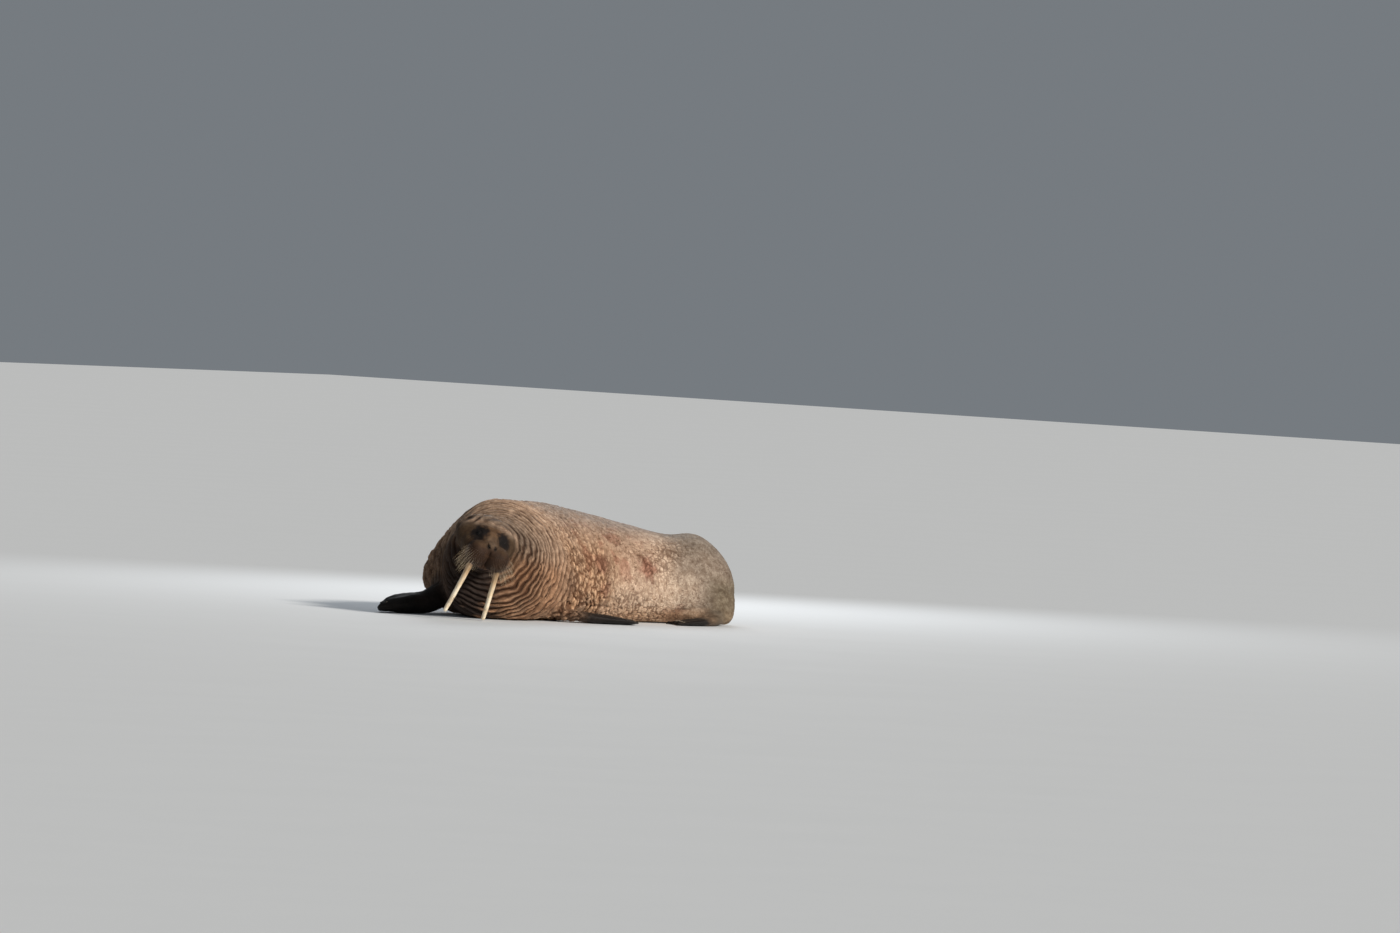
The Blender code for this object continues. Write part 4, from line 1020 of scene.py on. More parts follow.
def hide_pattern(m, place, paint):
    """Colour, height in millimetres and blotches of the hide at a place, for hide and coat alike."""
    straight = m.stored("straight", "Vector")
    folds = m.stored("folds")
    knobs = m.stored("knobs")
    patch = m.stored("patch")
    cracked = m.stored("cracked")
    # folds: a dark line of painted shade in step with each modelled valley, and finer wrinkles between
    count = m.sum("MULTIPLY_ADD", m.clouds(straight, 26.0, 3.0), 0.22, m.stored("count"))
    wave = m.sum("ABSOLUTE", m.sum("SINE", m.sum("MULTIPLY", count, math.pi)))
    strong = m.ramp(folds, 0.10, 0.80)
    fold_gap = m.sum("MULTIPLY", m.ramp(wave, 0.93, 0.36), strong)
    twice = m.sum("ABSOLUTE", m.sum("SINE", m.sum("MULTIPLY", count, 3.0 * math.pi)))
    ring_gap = m.sum("MULTIPLY", m.ramp(twice, 0.40, 0.0), folds)
    # clefts between knobs, and cracked hide in three sizes
    wobble = m.clouds(straight, 60.0, 3.0)
    cleft = m.ramp(m.sum("MULTIPLY_ADD", wobble, 0.20, m.stored("knob_gap")), 0.46, 0.16)
    cleft = m.sum("MULTIPLY", cleft, knobs)
    crack = m.ramp(m.sum("MULTIPLY_ADD", wobble, 0.24, m.stored("crack_gap")), 0.37, 0.14)
    crack = m.sum("MULTIPLY", crack, patch)
    drawn = m.stretch(m.warp(straight, 0.030, 9.0), (1.30, 0.85, 0.85))
    fine = m.sum("MULTIPLY", m.ramp(m.cells(drawn, 62.0), 0.16, 0.0), m.sum("MULTIPLY_ADD", cracked, 0.75, 0.10))
    tiny = m.ramp(m.cells(m.warp(place, 0.012, 30.0), 160.0), 0.22, 0.0)
    # dark pits in drifts over the flank: dented spots painted darker as shade
    drift = m.ramp(m.clouds(straight, 6.0, 3.0), 0.36, 0.62, 0.25, 1.0)
    pits = m.ramp(m.clouds(m.stretch(straight, (48.0, 66.0, 66.0)), 1.0, 3.0, 0.6), 0.52, 0.61)
    pits = m.sum("MULTIPLY", m.sum("MULTIPLY", pits, drift), cracked)
    # painted shade: every fold valley, wrinkle, cleft, crack and pit darkens towards a deep colour
    gaps = m.sum("MAXIMUM", m.sum("MULTIPLY", fine, 0.62), m.sum("MULTIPLY", ring_gap, 0.35))
    gaps = m.sum("MAXIMUM", gaps, m.sum("MULTIPLY", pits, 0.92))
    gaps = m.sum("MAXIMUM", gaps, m.sum("MULTIPLY", fold_gap, 0.96))
    gaps = m.sum("MAXIMUM", gaps, m.sum("MAXIMUM", cleft, m.sum("MULTIPLY", crack, 0.88)))
    gaps = m.sum("MAXIMUM", gaps, m.sum("MULTIPLY", m.stored("sharp"), 0.8))
    # hair: short streaks that run back along the body
    hair = m.clouds(m.stretch(straight, (42.0, 420.0, 420.0)), 1.0, 2.0)
    speckle = m.clouds(place, 210.0, 2.0)
    blotch = m.clouds(straight, 22.0, 6.0, 0.70)
    tone = m.stored("tone", "Color")
    lighter = m.mix(1.0, tone, (1.36, 1.37, 1.38), "MULTIPLY")
    darker = m.mix(1.0, tone, (0.64, 0.57, 0.52), "MULTIPLY")
    colour = m.mix(m.ramp(blotch, 0.36, 0.64), darker, lighter)
    colour = m.mix(m.ramp(speckle, 0.45, 0.75, 0.0, 0.30), colour, darker)
    colour = m.mix(m.ramp(hair, 0.35, 0.70, 0.0, 0.28), colour, lighter)
    # a fine net of shallow grooves, a little darker as painted shade
    colour = m.mix(m.sum("MULTIPLY", tiny, 0.30), colour, darker)
    # painted highlights: the crests of the knobs and of the neck folds are lightened
    crest_highlight = m.sum("MULTIPLY", m.ramp(m.stored("knob_gap"), 0.35, 0.85), knobs)
    crest_highlight = m.sum("MAXIMUM", crest_highlight, m.sum("MULTIPLY", m.ramp(wave, 0.80, 1.0), strong))
    colour = m.mix(m.sum("MULTIPLY", crest_highlight, 0.55), colour, m.mix(1.0, colour, (1.40, 1.40, 1.40), "MULTIPLY"))
    # the deep colour of the painted shade in these lines, mixed with the crease colour
    deep_shade = m.mix(1.0, tone, (0.22, 0.14, 0.10), "MULTIPLY")
    colour = m.mix(m.sum("MINIMUM", m.sum("MULTIPLY", gaps, 0.92), 1.0), colour, m.mix(0.25, deep_shade, tuple(paint.cleft)))
    height = m.sum("MULTIPLY", fold_gap, -4.5)
    height = m.sum("MULTIPLY_ADD", ring_gap, -1.3, height)
    height = m.sum("MULTIPLY_ADD", cleft, -4.0, height)
    height = m.sum("MULTIPLY_ADD", crack, -2.6, height)
    height = m.sum("MULTIPLY_ADD", fine, -1.1, height)
    height = m.sum("MULTIPLY_ADD", pits, -0.9, height)
    height = m.sum("MULTIPLY_ADD", tiny, -0.35, height)
    height = m.sum("MULTIPLY_ADD", hair, 0.55, height)
    height = m.sum("MULTIPLY_ADD", m.clouds(place, 70.0, 4.0), 1.2, height)
    return colour, height, m.sum("MULTIPLY_ADD", blotch, 0.5, m.sum("MULTIPLY", speckle, 0.5))


def hide_material(paint):
    """Dry creased hide with short flat hair."""
    m = Recipe("walrus_hide", 0.72)
    colour, height, blotch = hide_pattern(m, m.place(), paint)
    # dark dots at the roots of the whiskers
    dots = m.ramp(m.cells(m.place(), 115.0, "F1"), 0.42, 0.18)
    dots = m.sum("MULTIPLY", dots, m.sum("MULTIPLY", m.stored("pad"), 0.75))
    colour = m.mix(dots, colour, (0.010, 0.006, 0.005))
    roughness = m.ramp(blotch, 0.3, 0.7, 0.60, 0.84)
    roughness = m.sum("MULTIPLY_ADD", m.stored("bare"), -0.16, roughness)
    m.shader.inputs["Specular IOR Level"].default_value = 0.16
    m.shader.inputs["Sheen Weight"].default_value = 0.01
    m.shader.inputs["Sheen Roughness"].default_value = 0.45
    return m.finish(colour, roughness, m.bump(height, 0.001))


def dress_hide(skin, hide, paint):
    """Work out the markings, with their painted light and shade, on the finished hide."""
    mesh = skin.data
    measures = Hide(points_of(mesh))
    put(mesh, "straight", measures.straight)
    put(mesh, "tone", markings(measures, paint))
    cracked = (0.25 + 0.75 * smoothstep(0.30, 0.80, measures.along)) * (1.0 - measures.limb)
    cracked *= smoothstep(-0.06, 0.06, measures.along) * (0.50 + 0.50 * smoothstep(0.3, 1.0, measures.angle))
    cracked *= 1.0 - 0.35 * smoothstep(2.1, 2.5, measures.along)
    put(mesh, "cracked", cracked)
    put(mesh, "bare", np.maximum(measures.limb, 0.4 * get(mesh, "pad")))


class WALRUS_OT_hide(bpy.types.Operator):
    """Make the one creased hide that stands for every solid of flesh"""

    bl_idname = "walrus.hide"
    bl_label = "Hide"

    def execute(self, context):
        hide = context.scene.walrus_hide
        paint = context.scene.walrus_colours
        skin = rough_hide(hide)
        soften(skin)
        eyes = [eye_frame(sign)[0] for sign in SIDES.values()]
        nose = head_point(*(NOSTRIL[0], 0.0, NOSTRIL[2]))
        muzzle = head_point(0.05, 0.0, -0.07)
        subdivide_near(skin, [(muzzle, 0.225)])
        subdivide_near(skin, [(eye, 0.042) for eye in eyes] + [(nose, 0.050)])
        subdivide_near(skin, [(eye, 0.028) for eye in eyes])
        sculpt_hide(skin, hide)
        thin = skin.modifiers.new("thin", "DECIMATE")
        triangles = sum(len(face.vertices) - 2 for face in skin.data.polygons)
        thin.ratio = min(1.0, hide.triangles / triangles)
        thin.use_collapse_triangulate = True
        baked(skin)
        keep_largest(skin)
        dress_hide(skin, hide, paint)
        finish_piece(skin, hide_material(paint), FLESH)
        return {"FINISHED"}


# Tusks, eyes, claws and whiskers


def ivory_material(paint):
    """Ivory with lengthwise cracks, stained towards the root and in the cracks."""
    m = Recipe("walrus_ivory", 0.35)
    run = m.stored("run", "Vector")
    length = m.node("SeparateXYZ")
    m.join(run, length.inputs[0])
    share = length.outputs["X"]
    drawn = m.stretch(m.warp(run, 0.010, 12.0), (5.0, 110.0, 110.0))
    crack = m.ramp(m.cells(drawn, 1.0), 0.0, 0.07)
    crack_gap = m.sum("MULTIPLY", m.sum("SUBTRACT", 1.0, crack), m.ramp(m.clouds(run, 14.0), 0.42, 0.60))
    rings = m.clouds(m.stretch(run, (150.0, 6.0, 6.0)), 1.0, 2.0)
    cloud = m.clouds(run, 18.0, 4.0)
    pale = m.mix(m.ramp(cloud, 0.3, 0.7), tuple(paint.ivory), (0.88, 0.78, 0.60))
    stained = m.mix(m.ramp(m.sum("MULTIPLY_ADD", cloud, 0.14, share), 0.34, 0.12), pale, tuple(paint.stain))
    worn = m.mix(m.ramp(share, 0.40, 0.49, 0.0, 0.45), stained, (0.90, 0.82, 0.68))
    colour = m.mix(m.ramp(rings, 0.40, 0.70, 0.0, 0.22), worn, tuple(paint.stain))
    colour = m.mix(m.sum("MULTIPLY", crack_gap, 0.75), colour, (0.22, 0.13, 0.065))
    height = m.sum("MULTIPLY", crack_gap, -0.8)
    height = m.sum("MULTIPLY_ADD", rings, 0.35, height)
    normal = m.bump(height, 0.001)
    m.shader.inputs["Coat Weight"].default_value = 0.10
    m.shader.inputs["Coat Roughness"].default_value = 0.25
    return m.finish(colour, m.ramp(cloud, 0.3, 0.7, 0.28, 0.45), normal)


class WALRUS_OT_tusks(bpy.types.Operator):
    """Make both tusks finer than their solids, with shallow flutes"""

    bl_idname = "walrus.tusks"
    bl_label = "Tusks"

    def execute(self, context):
        material = ivory_material(context.scene.walrus_colours)
        for side in SIDES:
            node = "tusk_" + side
            mesh_edit = bmesh.new()
            add_solid(mesh_edit, node, 0.0)
            tusk = new_object(node + "_ivory", mesh_edit)
            melt = tusk.modifiers.new("melt", "REMESH")
            melt.mode = "VOXEL"
            melt.voxel_size = 0.0026
            smooth = tusk.modifiers.new("soften", "SMOOTH")
            smooth.factor = 0.5
            smooth.iterations = 24
            baked(tusk)
            keep_largest(tusk)
            points = points_of(tusk.data)
            normals = normals_of(tusk.data)
            middle = points.mean(axis=0)
            run = np.linalg.svd(points[::7] - middle, full_matrices=False)[2][0]
            if run[2] > 0.0:
                run = -run
            along = (points - middle) @ run
            along -= along.min()
            across = np.cross(run, np.array(HEAD_F))
            across /= np.linalg.norm(across)
            other = np.cross(run, across)
            x = (points - middle) @ across
            y = (points - middle) @ other
            flute = noise_at(np.stack((along * 0.18, x, y), axis=1), 0.011, 3.0 + SIDES[side])
            dent = noise_at(np.stack((along, x, y), axis=1), 0.06, 9.0)
            points = points + normals * (0.0009 * flute + 0.0012 * dent - 0.0008)[:, None]
            set_points(tusk.data, points)
            layer = tusk.data.attributes.new("run", "FLOAT_VECTOR", "POINT")
            layer.data.foreach_set("vector", np.stack((along, x, y), axis=1).astype(np.float32).ravel())
            finish_piece(tusk, material, [node])
        return {"FINISHED"}


def eye_material():
    """A wet dark eye with a brown iris and a reddish rim."""
    m = Recipe("walrus_eye", 0.06)
    place = m.place()
    gaze = m.stored("gaze")
    streaks = m.clouds(place, 420.0, 3.0)
    iris = m.mix(m.ramp(streaks, 0.35, 0.65), (0.012, 0.006, 0.004), (0.040, 0.018, 0.009))
    colour = m.mix(m.ramp(gaze, 0.30, 0.36), (0.002, 0.002, 0.002), iris)
    rim = m.mix(m.ramp(streaks, 0.4, 0.7), (0.035, 0.012, 0.009), (0.065, 0.030, 0.024))
    colour = m.mix(m.ramp(gaze, 0.74, 0.86), colour, rim)
    m.shader.inputs["Coat Weight"].default_value = 0.35
    m.shader.inputs["Coat Roughness"].default_value = 0.04
    m.shader.inputs["Specular IOR Level"].default_value = 0.40
    return m.finish(colour, m.ramp(streaks, 0.3, 0.7, 0.05, 0.10), m.bump(streaks, 0.0001))


class WALRUS_OT_eyes(bpy.types.Operator):
    """Make both eyeballs, each with a raised cornea"""

    bl_idname = "walrus.eyes"
    bl_label = "Eyes"

    def execute(self, context):
        material = eye_material()
        for side, sign in SIDES.items():
            centre, outwards, _, _ = eye_frame(sign)
            look = (outwards + HEAD_F * 0.25).normalized()
            mesh_edit = bmesh.new()
            bmesh.ops.create_uvsphere(mesh_edit, u_segments=48, v_segments=32, radius=EYE_RADIUS - 0.0012)
            turn = look.to_track_quat("Z", "Y").to_matrix().to_4x4()
            bmesh.ops.transform(mesh_edit, matrix=turn, verts=mesh_edit.verts)
            gaze = []
            for vertex in mesh_edit.verts:
                off = vertex.co.angle(look)
                gaze.append(off)
                vertex.co *= 1.0 + 0.035 * float(smoothstep(0.60, 0.15, off))
            bmesh.ops.translate(mesh_edit, verts=mesh_edit.verts, vec=centre)
            eye = new_object("eye_" + side + "_ball", mesh_edit)
            put(eye.data, "gaze", np.array(gaze))
            finish_piece(eye, material, ["eye_" + side])
        return {"FINISHED"}


def hide_tree():
    """A search tree over the finished hide."""
    skin = bpy.data.objects["hide"]
    return BVHTree.FromPolygons([v.co[:] for v in skin.data.vertices], [p.vertices[:] for p in skin.data.polygons])


def horn_material(paint):
    """Worn dark horn."""
    m = Recipe("walrus_horn", 0.45)
    place = m.place()
    streak = m.clouds(m.stretch(place, (60.0, 260.0, 260.0)), 1.0, 3.0)
    colour = m.mix(m.ramp(streak, 0.3, 0.7), tuple(paint.horn), (0.32, 0.26, 0.19))
    return m.finish(colour, m.ramp(streak, 0.3, 0.7, 0.35, 0.55), m.bump(streak, 0.0004))


class WALRUS_OT_claws(bpy.types.Operator):
    """Make a small worn nail on each digit, a little back from the flipper's edge"""

    bl_idname = "walrus.claws"
    bl_label = "Claws"

    def execute(self, context):
        tree = hide_tree()
        mesh_edit = bmesh.new()
        for name, limb in ALL_LIMBS.items():
            hind = name.startswith("hind")
            last = len(limb.spine) - 1
            place = 0.90 * last
            centre = smooth_between(limb.spine, place)
            run = (smooth_between(limb.spine, place + 0.1) - smooth_between(limb.spine, place - 0.1)).normalized()
            across = run.cross(Vector((0.0, 0.0, 1.0))).normalized()
            half_width = smooth_between(limb.half_widths, place)
            for digit in range(5):
                u = -1.0 + (2.0 * digit + 1.0) / 5.0
                big = 1.35 if hind and digit in (1, 2, 3) else 0.9
                high = centre + across * u * half_width + Vector((0.0, 0.0, 0.15))
                hit, normal, _, _ = tree.ray_cast(high, Vector((0.0, 0.0, -1.0)), 0.3)
                if hit is None:
                    continue
                fan = (run + across * 0.35 * u).normalized()
                add_claw(mesh_edit, hit, normal, fan, 0.021 * big, 0.0072 * big)
        bmesh.ops.recalc_face_normals(mesh_edit, faces=mesh_edit.faces)
        claws = new_object("claws", mesh_edit)
        finish_piece(claws, horn_material(context.scene.walrus_colours))
        return {"FINISHED"}


def add_claw(mesh_edit, root, normal, run, length, width):
    """One nail: a cone pressed flat, bent down at its tip and sunk at its root."""
    made = bmesh.ops.create_cone(mesh_edit, cap_ends=True, segments=14, radius1=1.0, radius2=0.22, depth=1.0)
    verts = made["verts"]
    long_edges = list({edge for v in verts for edge in v.link_edges if abs(edge.verts[0].co.z - edge.verts[1].co.z) > 0.5})
    bmesh.ops.subdivide_edges(mesh_edit, edges=long_edges, cuts=5)
    verts = list({v for v in mesh_edit.verts if v.tag is False})
    run = (run - normal * run.dot(normal)).normalized()
    across = normal.cross(run).normalized()
    for v in verts:
        share = v.co.z + 0.5
        bulge = 1.0 + 0.25 * math.sin(math.pi * min(share * 1.3, 1.0))
        x = v.co.x * width * 0.5 * bulge
        y = v.co.y * width * 0.32 * bulge
        lift = width * (0.22 + 0.35 * math.sin(share * 2.4)) - width * 0.45 * share**2
        v.co = root + run * (share - 0.35) * length + across * x + normal * (y + lift)
        v.tag = True


def bristle_material(paint):
    """Stiff translucent bristle, darker at the root."""
    m = Recipe("walrus_bristle", 0.38)
    share = m.stored("share")
    tint = m.stored("tint")
    pale = m.mix(tint, tuple(paint.bristle), (0.74, 0.62, 0.44))
    colour = m.mix(m.ramp(share, 0.12, 0.80), (0.050, 0.022, 0.012), pale)
    grain = m.clouds(m.place(), 900.0, 2.0)
    return m.finish(colour, m.ramp(grain, 0.3, 0.7, 0.30, 0.46), m.bump(grain, 0.0002))


def whisker_paths(bristles, tree, tusks, rng):
    """The middle line of each whisker, in rows over both pads."""
    steps = 7
    for sign in SIDES.values():
        centre = head_point(PAD_CENTRE.x, PAD_CENTRE.y * sign, PAD_CENTRE.z)
        for row in range(bristles.rows):
            for column in range(bristles.per_row):
                down = 1.0 - row / (bristles.rows - 1)
                out = (column + 0.5 * (row % 2)) / bristles.per_row
                level = math.radians(-64.0 * down + 30.0 * (1.0 - down) + rng.uniform(-2.0, 2.0))
                turn = math.radians(-26.0 + 116.0 * out + rng.uniform(-2.5, 2.5))
                way = head_way(math.cos(level) * math.cos(turn), math.cos(level) * math.sin(turn) * sign,
                               math.sin(level))
                hit, normal, _, _ = tree.ray_cast(centre, way, 0.2)
                if hit is None:
                    continue
                local = hit - HEAD_ORIGIN
                if local.dot(HEAD_L) * sign < 0.012 or local.dot(HEAD_F) < 0.075:
                    continue
                outer = float(smoothstep(0.05, 0.75, out))
                low = float(smoothstep(0.02, 0.70, down + 0.30 * outer))
                length = bristles.short + (bristles.long - bristles.short) * low * (0.30 + 0.70 * outer)
                length *= rng.uniform(0.74, 1.08)
                lie = head_way(0.24, (0.62 if sign > 0.0 else -0.26) + rng.uniform(-0.10, 0.10), -0.90)
                bend = rng.uniform(0.85, 1.15)
                points = [hit - way * 0.004, hit + way * 0.0015]
                for step in range(1, steps):
                    share = step / (steps - 1)
                    heading = (way * (0.74 - 0.60 * share * bend) + lie * (0.46 + 0.62 * share * bend)).normalized()
                    points.append(points[-1] + heading * length / (steps - 1))
                if all(tusks.find_nearest(point)[3] > 0.0035 for point in points[2:]) and all(
                        tree.ray_cast(point, -way, 0.2)[0] is not None or step < 3
                        for step, point in enumerate(points)):
                    yield points, length


class WALRUS_OT_whiskers(bpy.types.Operator):
    """Make the stiff bristles on both pads, each with a small collar of skin at its root"""

    bl_idname = "walrus.whiskers"
    bl_label = "Whiskers"

    def execute(self, context):
        bristles = context.scene.walrus_bristles
        rng = np.random.default_rng(77)
        tree = hide_tree()
        tusk_points = []
        tusk_faces = []
        for side in SIDES:
            mesh = bpy.data.objects["tusk_" + side + "_ivory"].data
            start = len(tusk_points)
            tusk_points += [v.co[:] for v in mesh.vertices]
            tusk_faces += [[start + i for i in p.vertices] for p in mesh.polygons]
        tusks = BVHTree.FromPolygons(tusk_points, tusk_faces)
        sides = 6
        points = []
        faces = []
        shares = []
        tints = []
        for path, length in whisker_paths(bristles, tree, tusks, rng):
            tint = rng.uniform(0.0, 1.0)
            radius = bristles.thick * (0.50 + 0.50 * length / bristles.long)
            start = len(points)
            across = (path[1] - path[0]).orthogonal().normalized()
            for i, point in enumerate(path):
                run = (path[min(i + 1, len(path) - 1)] - path[max(i - 1, 0)]).normalized()
                across = (across - run * across.dot(run)).normalized()
                other = run.cross(across)
                share = i / (len(path) - 1)
                thick = radius * (1.9 if i < 2 else 1.0) * (1.0 - 0.86 * share)
                for k in range(sides):
                    angle = 2.0 * math.pi * k / sides
                    points.append(point + (across * math.cos(angle) + other * math.sin(angle)) * thick)
                    shares.append(share * min(1.0, length / 0.07))
                    tints.append(tint)
            for i in range(len(path) - 1):
                for k in range(sides):
                    a = start + i * sides + k
                    b = start + i * sides + (k + 1) % sides
                    faces.append((a, b, b + sides, a + sides))
            faces.append(tuple(start + k for k in reversed(range(sides))))
            faces.append(tuple(start + (len(path) - 1) * sides + k for k in range(sides)))
        mesh = bpy.data.meshes.new("whiskers")
        mesh.from_pydata([p[:] for p in points], [], faces)
        whiskers = bpy.data.objects.new("whiskers", mesh)
        context.scene.collection.objects.link(whiskers)
        put(mesh, "share", np.array(shares))
        put(mesh, "tint", np.array(tints))
        finish_piece(whiskers, bristle_material(context.scene.walrus_colours))
        return {"FINISHED"}


# The coat

SHARED = ("straight", "tone", "count", "folds", "knobs", "knob_gap", "patch", "crack_gap", "cracked", "sharp")
COAT_PARTS = {"coat_head": (-9.0, 0.10), "coat_neck": (0.10, 0.62), "coat_chest": (0.62, 1.20),
              "coat_flank": (1.20, 1.95), "coat_rump": (1.95, 9.0)}


def coat_material(paint):
    """Short hair with the colours of the hide below it."""
    m = Recipe("walrus_coat", 0.62)
    colour, _, blotch = hide_pattern(m, m.stored("root", "Vector"), paint)
    # each tuft lighter by a random share: tone variation, together with painted light that makes up for the shade
    # falling among the tufts
    lighter = m.mix(1.0, colour, (1.30, 1.28, 1.26), "MULTIPLY")
    colour = m.mix(m.stored("tint"), colour, lighter)
    grain = m.clouds(m.place(), 300.0, 2.0)
    m.shader.inputs["Specular IOR Level"].default_value = 0.16
    m.shader.inputs["Sheen Weight"].default_value = 0.01
    return m.finish(colour, m.ramp(blotch, 0.3, 0.7, 0.55, 0.75), m.bump(grain, 0.0001))


def make_coat(name, low, high, bristles, paint, material, rng):
    """Thin tufts that lie back along one part of the body."""
    skin = bpy.data.objects["hide"]
    mesh = skin.data
    corners = np.empty(len(mesh.polygons) * 3, np.int32)
    mesh.polygons.foreach_get("vertices", corners)
    corners = corners.reshape(-1, 3)
    points = points_of(mesh)
    normals = normals_of(mesh)
    a, b, c = points[corners[:, 0]], points[corners[:, 1]], points[corners[:, 2]]
    area = np.linalg.norm(np.cross(b - a, c - a), axis=1) * 0.5
    middle = (a + b + c) / 3.0
    along = get(mesh, "straight")[corners[:, 0], 0]
    bare = get(mesh, "bare")[corners[:, 0]]
    hollow = np.exp(-((get(mesh, "knob_gap") / 0.17) ** 2)) * get(mesh, "knobs")
    hollow = np.maximum(hollow, (1.0 - np.abs(np.sin(math.pi * get(mesh, "count")))) * np.minimum(1.6 * get(mesh, "folds"), 1.0))
    hollow = np.maximum(hollow, np.exp(-((get(mesh, "crack_gap") / 0.14) ** 2)) * get(mesh, "patch"))
    hollow = np.clip(hollow[corners].mean(axis=1), 0.0, 1.0)
    local = (middle - np.array(HEAD_ORIGIN)) @ HEAD_AXES.T
    keep = (along >= low) & (along < high) & (middle[:, 2] > 0.012)
    chance = area * keep * (1.0 - 0.92 * np.clip(bare, 0.0, 1.0)) * (1.0 - 0.85 * hollow)
    for sign in SIDES.values():
        eye = np.linalg.norm(middle - np.array(eye_frame(sign)[0]), axis=1)
        chance = chance * (eye > 0.040)
    nose = np.linalg.norm(local - np.array((NOSTRIL[0], 0.0, NOSTRIL[2])), axis=1)
    chance = chance * (nose > 0.045)
    count = bristles.tufts
    chosen = rng.choice(len(area), count, p=chance / chance.sum())
    r1 = np.sqrt(rng.uniform(0.0, 1.0, count))
    r2 = rng.uniform(0.0, 1.0, count)
    share = np.stack((1.0 - r1, r1 * (1.0 - r2), r1 * r2), axis=1)
    tri = corners[chosen]
    root = np.einsum("ij,ijk->ik", share, points[tri])
    normal = np.einsum("ij,ijk->ik", share, normals[tri])
    normal /= np.linalg.norm(normal, axis=1)[:, None]
    stored = {name: np.einsum("ij,ij...->i...", share, get(mesh, name)[tri]) for name in SHARED}
    behind = stored["straight"][:, 0]
    lie = TRUNK.backwards(behind)
    face = smoothstep(0.10, -0.05, behind)[:, None]
    from_nose = root - np.array(head_point(0.16, 0.0, -0.02))
    from_nose /= np.linalg.norm(from_nose, axis=1)[:, None]
    lie = lie * (1.0 - face) + from_nose * face
    lie = lie + rng.normal(0.0, 0.16, (count, 3)) + np.array((0.0, 0.0, -0.25))
    lie -= normal * np.einsum("ij,ij->i", lie, normal)[:, None]
    lie /= np.linalg.norm(lie, axis=1)[:, None]
    across = np.cross(normal, lie)
    length = bristles.tuft_length * rng.uniform(0.7, 1.25, count) * (1.0 - 0.45 * face[:, 0])
    width = bristles.tuft_width * rng.uniform(0.7, 1.3, count) * (1.0 - 0.35 * face[:, 0])
    rise = rng.uniform(0.10, 0.24, count)
    base = root - normal * 0.0012
    left = base + across * width[:, None] * 0.5
    right = base - across * width[:, None] * 0.5
    front = base + normal * width[:, None] * 0.9 - lie * width[:, None] * 0.3
    tip = root + lie * length[:, None] + normal * (length * rise)[:, None] - normal * 0.0006
    corners = np.stack((left, right, front, tip), axis=1).reshape(-1, 3)
    corners[:, 2] = np.maximum(corners[:, 2], 0.0008)
    start = np.arange(count)[:, None] * 4
    faces = (start[:, None, :] + np.array(((0, 2, 1), (0, 3, 2), (1, 2, 3), (0, 1, 3)))[None]).reshape(-1, 3)
    coat = object_of_arrays(name, corners, faces)
    for key, values in stored.items():
        put(coat.data, key, np.repeat(values, 4, axis=0))
    put(coat.data, "root", np.repeat(root, 4, axis=0))
    put(coat.data, "tint", np.repeat(rng.uniform(0.0, 1.0, count), 4))
    span = max(min(high, 2.8) - max(low, -0.35), 0.1)
    u = np.clip((behind - max(low, -0.35)) / span, 0.0, 1.0) * 0.994 + 0.001
    v = (np.arctan2(stored["straight"][:, 1], stored["straight"][:, 2]) / (2.0 * math.pi) + 0.5) * 0.994 + 0.001
    patch = np.array(((0.0, 0.0), (0.003, 0.0), (0.0, 0.003), (0.003, 0.003)))
    where = np.stack((u, v), axis=1)[:, None, :] + patch[None]
    layer = coat.data.uv_layers.new(name="OFBake")
    loops = np.empty(len(coat.data.loops), np.int32)
    coat.data.loops.foreach_get("vertex_index", loops)
    layer.data.foreach_set("uv", where.reshape(-1, 2)[loops].astype(np.float32).ravel())
    return finish_piece(coat, material)


class WALRUS_OT_coat(bpy.types.Operator):
    """Lay the short coat over the hide in thin tufts, part by part"""

    bl_idname = "walrus.coat"
    bl_label = "Coat"

    def execute(self, context):
        paint = context.scene.walrus_colours
        material = coat_material(paint)
        rng = np.random.default_rng(2024)
        for name, (low, high) in COAT_PARTS.items():
            make_coat(name, low, high, context.scene.walrus_bristles, paint, material, rng)
        return {"FINISHED"}


# Stage


def add_lamp(name, place, aim, size, power, colour):
    """A soft square lamp."""
    lamp = bpy.data.lights.new(name, "AREA")
    lamp.shape = "SQUARE"
    lamp.size = size
    lamp.energy = power
    lamp.color = colour
    thing = bpy.data.objects.new(name, lamp)
    thing.location = place
    thing.rotation_euler = (aim - place).to_track_quat("-Z", "Y").to_euler()
    bpy.context.scene.collection.objects.link(thing)


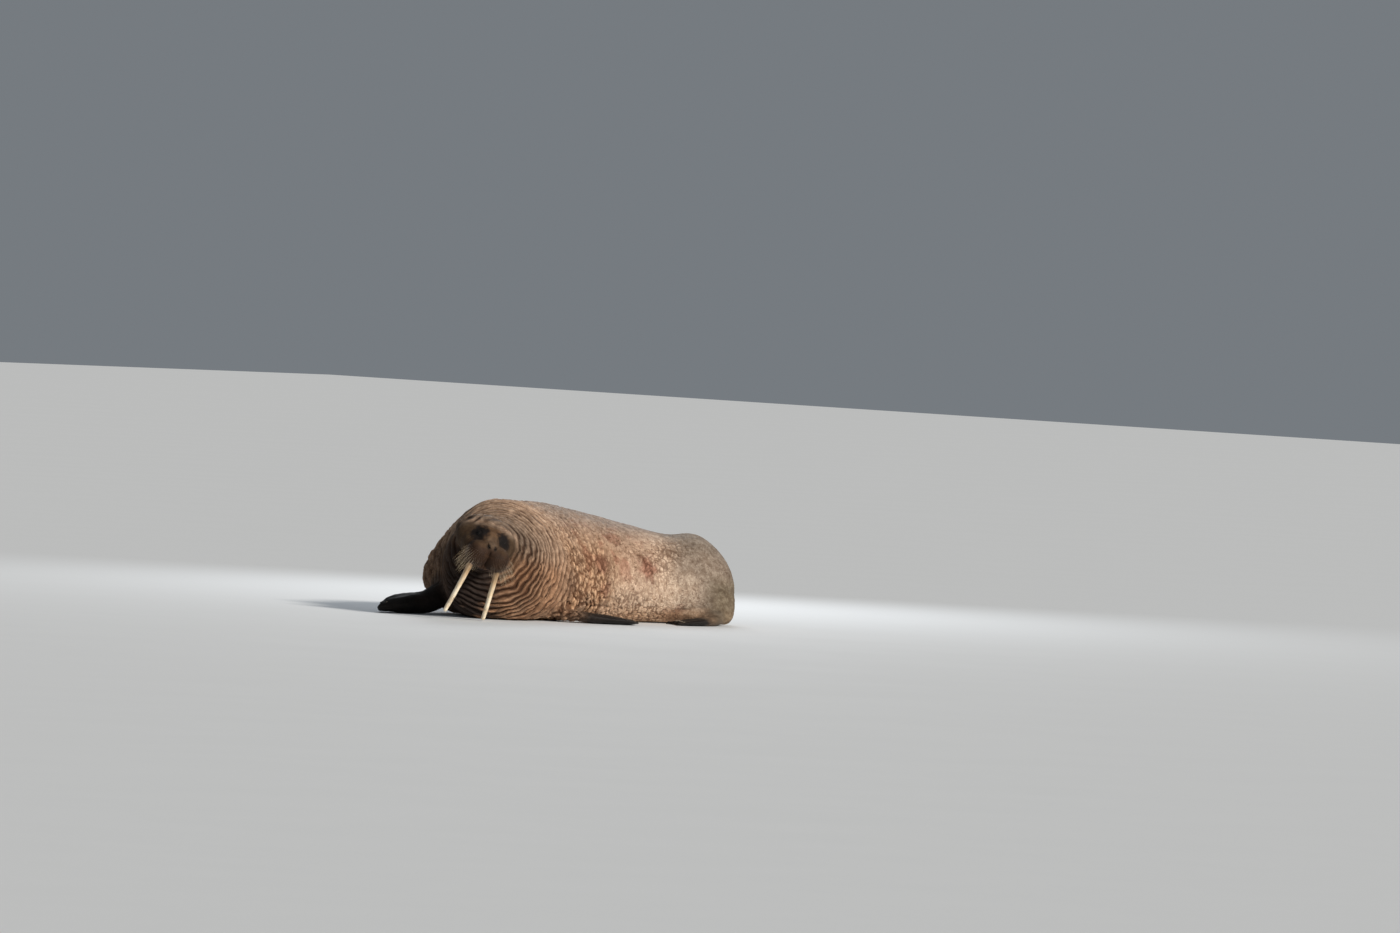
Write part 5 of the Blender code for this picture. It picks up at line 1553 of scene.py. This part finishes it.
class WALRUS_OT_stage(bpy.types.Operator):
    """Make the pale floor, the soft lights and the camera"""

    bl_idname = "walrus.stage"
    bl_label = "Stage"

    def execute(self, context):
        paint = context.scene.walrus_colours
        mesh_edit = bmesh.new()
        bmesh.ops.create_grid(mesh_edit, x_segments=8, y_segments=8, size=90.0)
        floor = new_object("floor", mesh_edit)
        m = Recipe("studio_floor", 0.85)
        cloud = m.clouds(m.place(), 0.8, 3.0)
        colour = m.mix(m.ramp(cloud, 0.3, 0.7, 0.0, 0.06), tuple(paint.floor), (0.55, 0.58, 0.60))
        floor.data.materials.append(m.finish(colour, m.ramp(cloud, 0.3, 0.7, 0.80, 0.88)))
        world = bpy.data.worlds.new("studio")
        world.use_nodes = True
        background = world.node_tree.nodes["Background"]
        background.inputs["Color"].default_value = (0.60, 0.66, 0.72, 1.0)
        background.inputs["Strength"].default_value = 0.30
        context.scene.world = world
        aim = to_row((0.0, 0.0, 0.4))
        sun = bpy.data.lights.new("key", "SUN")
        sun.energy = 4.0
        sun.angle = math.radians(7.0)
        sun.color = (1.0, 0.94, 0.86)
        key = bpy.data.objects.new("key", sun)
        key.rotation_euler = (BODY_TURN @ Vector((0.66, -0.66, 0.42))).to_track_quat("Z", "Y").to_euler()
        context.scene.collection.objects.link(key)
        add_lamp("back", to_row((0.5, 6.0, 4.2)), aim, 3.0, 160.0, (0.94, 0.97, 1.0))
        camera = bpy.data.cameras.new("camera")
        camera.lens = 250.0
        camera.sensor_width = 36.0
        camera.clip_end = 400.0
        eye = bpy.data.objects.new("camera", camera)
        tilt = math.radians(1.2)
        back = Vector((0.0, -math.cos(tilt), math.sin(tilt)))
        turn = Matrix.Rotation(math.radians(90.0) - tilt, 4, "X") @ Matrix.Rotation(math.radians(3.0), 4, "Z")
        turn = BODY_TURN.to_4x4() @ turn
        turn.translation = to_row(Vector((0.968, 0.0, 1.189)) + back * 71.46)
        eye.matrix_world = turn
        context.scene.collection.objects.link(eye)
        context.scene.camera = eye
        context.scene.view_settings.view_transform = "Standard"
        return {"FINISHED"}


class WALRUS_PT_panel(bpy.types.Panel):
    """Lists the pieces of the walrus and their sizes"""

    bl_idname = "WALRUS_PT_panel"
    bl_label = "Walrus"
    bl_space_type = "VIEW_3D"
    bl_region_type = "UI"
    bl_category = "Walrus"

    def draw(self, context):
        for operator in OPERATORS:
            self.layout.operator(operator.bl_idname)
        for name in GROUPS:
            group = getattr(context.scene, name)
            box = self.layout.box()
            for key in group.bl_rna.properties.keys():
                if key not in ("rna_type", "name"):
                    box.prop(group, key)


GROUPS = {"walrus_hide": WalrusHide, "walrus_colours": WalrusColours, "walrus_bristles": WalrusBristles}
OPERATORS = (WALRUS_OT_hide, WALRUS_OT_tusks, WALRUS_OT_eyes, WALRUS_OT_claws, WALRUS_OT_whiskers, WALRUS_OT_coat,
             WALRUS_OT_stage)
CLASSES = (*GROUPS.values(), *OPERATORS, WALRUS_PT_panel)


def register():
    """Add the classes and their settings."""
    for cls in CLASSES:
        bpy.utils.register_class(cls)
    for name, group in GROUPS.items():
        setattr(bpy.types.Scene, name, PointerProperty(type=group))


def unregister():
    """Remove the settings and the classes."""
    for name in GROUPS:
        delattr(bpy.types.Scene, name)
    for cls in reversed(CLASSES):
        bpy.utils.unregister_class(cls)


def main():
    """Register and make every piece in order."""
    register()
    bpy.ops.walrus.hide()
    bpy.ops.walrus.tusks()
    bpy.ops.walrus.eyes()
    bpy.ops.walrus.claws()
    bpy.ops.walrus.whiskers()
    bpy.ops.walrus.coat()
    bpy.ops.walrus.stage()


if __name__ == "__main__":
    main()
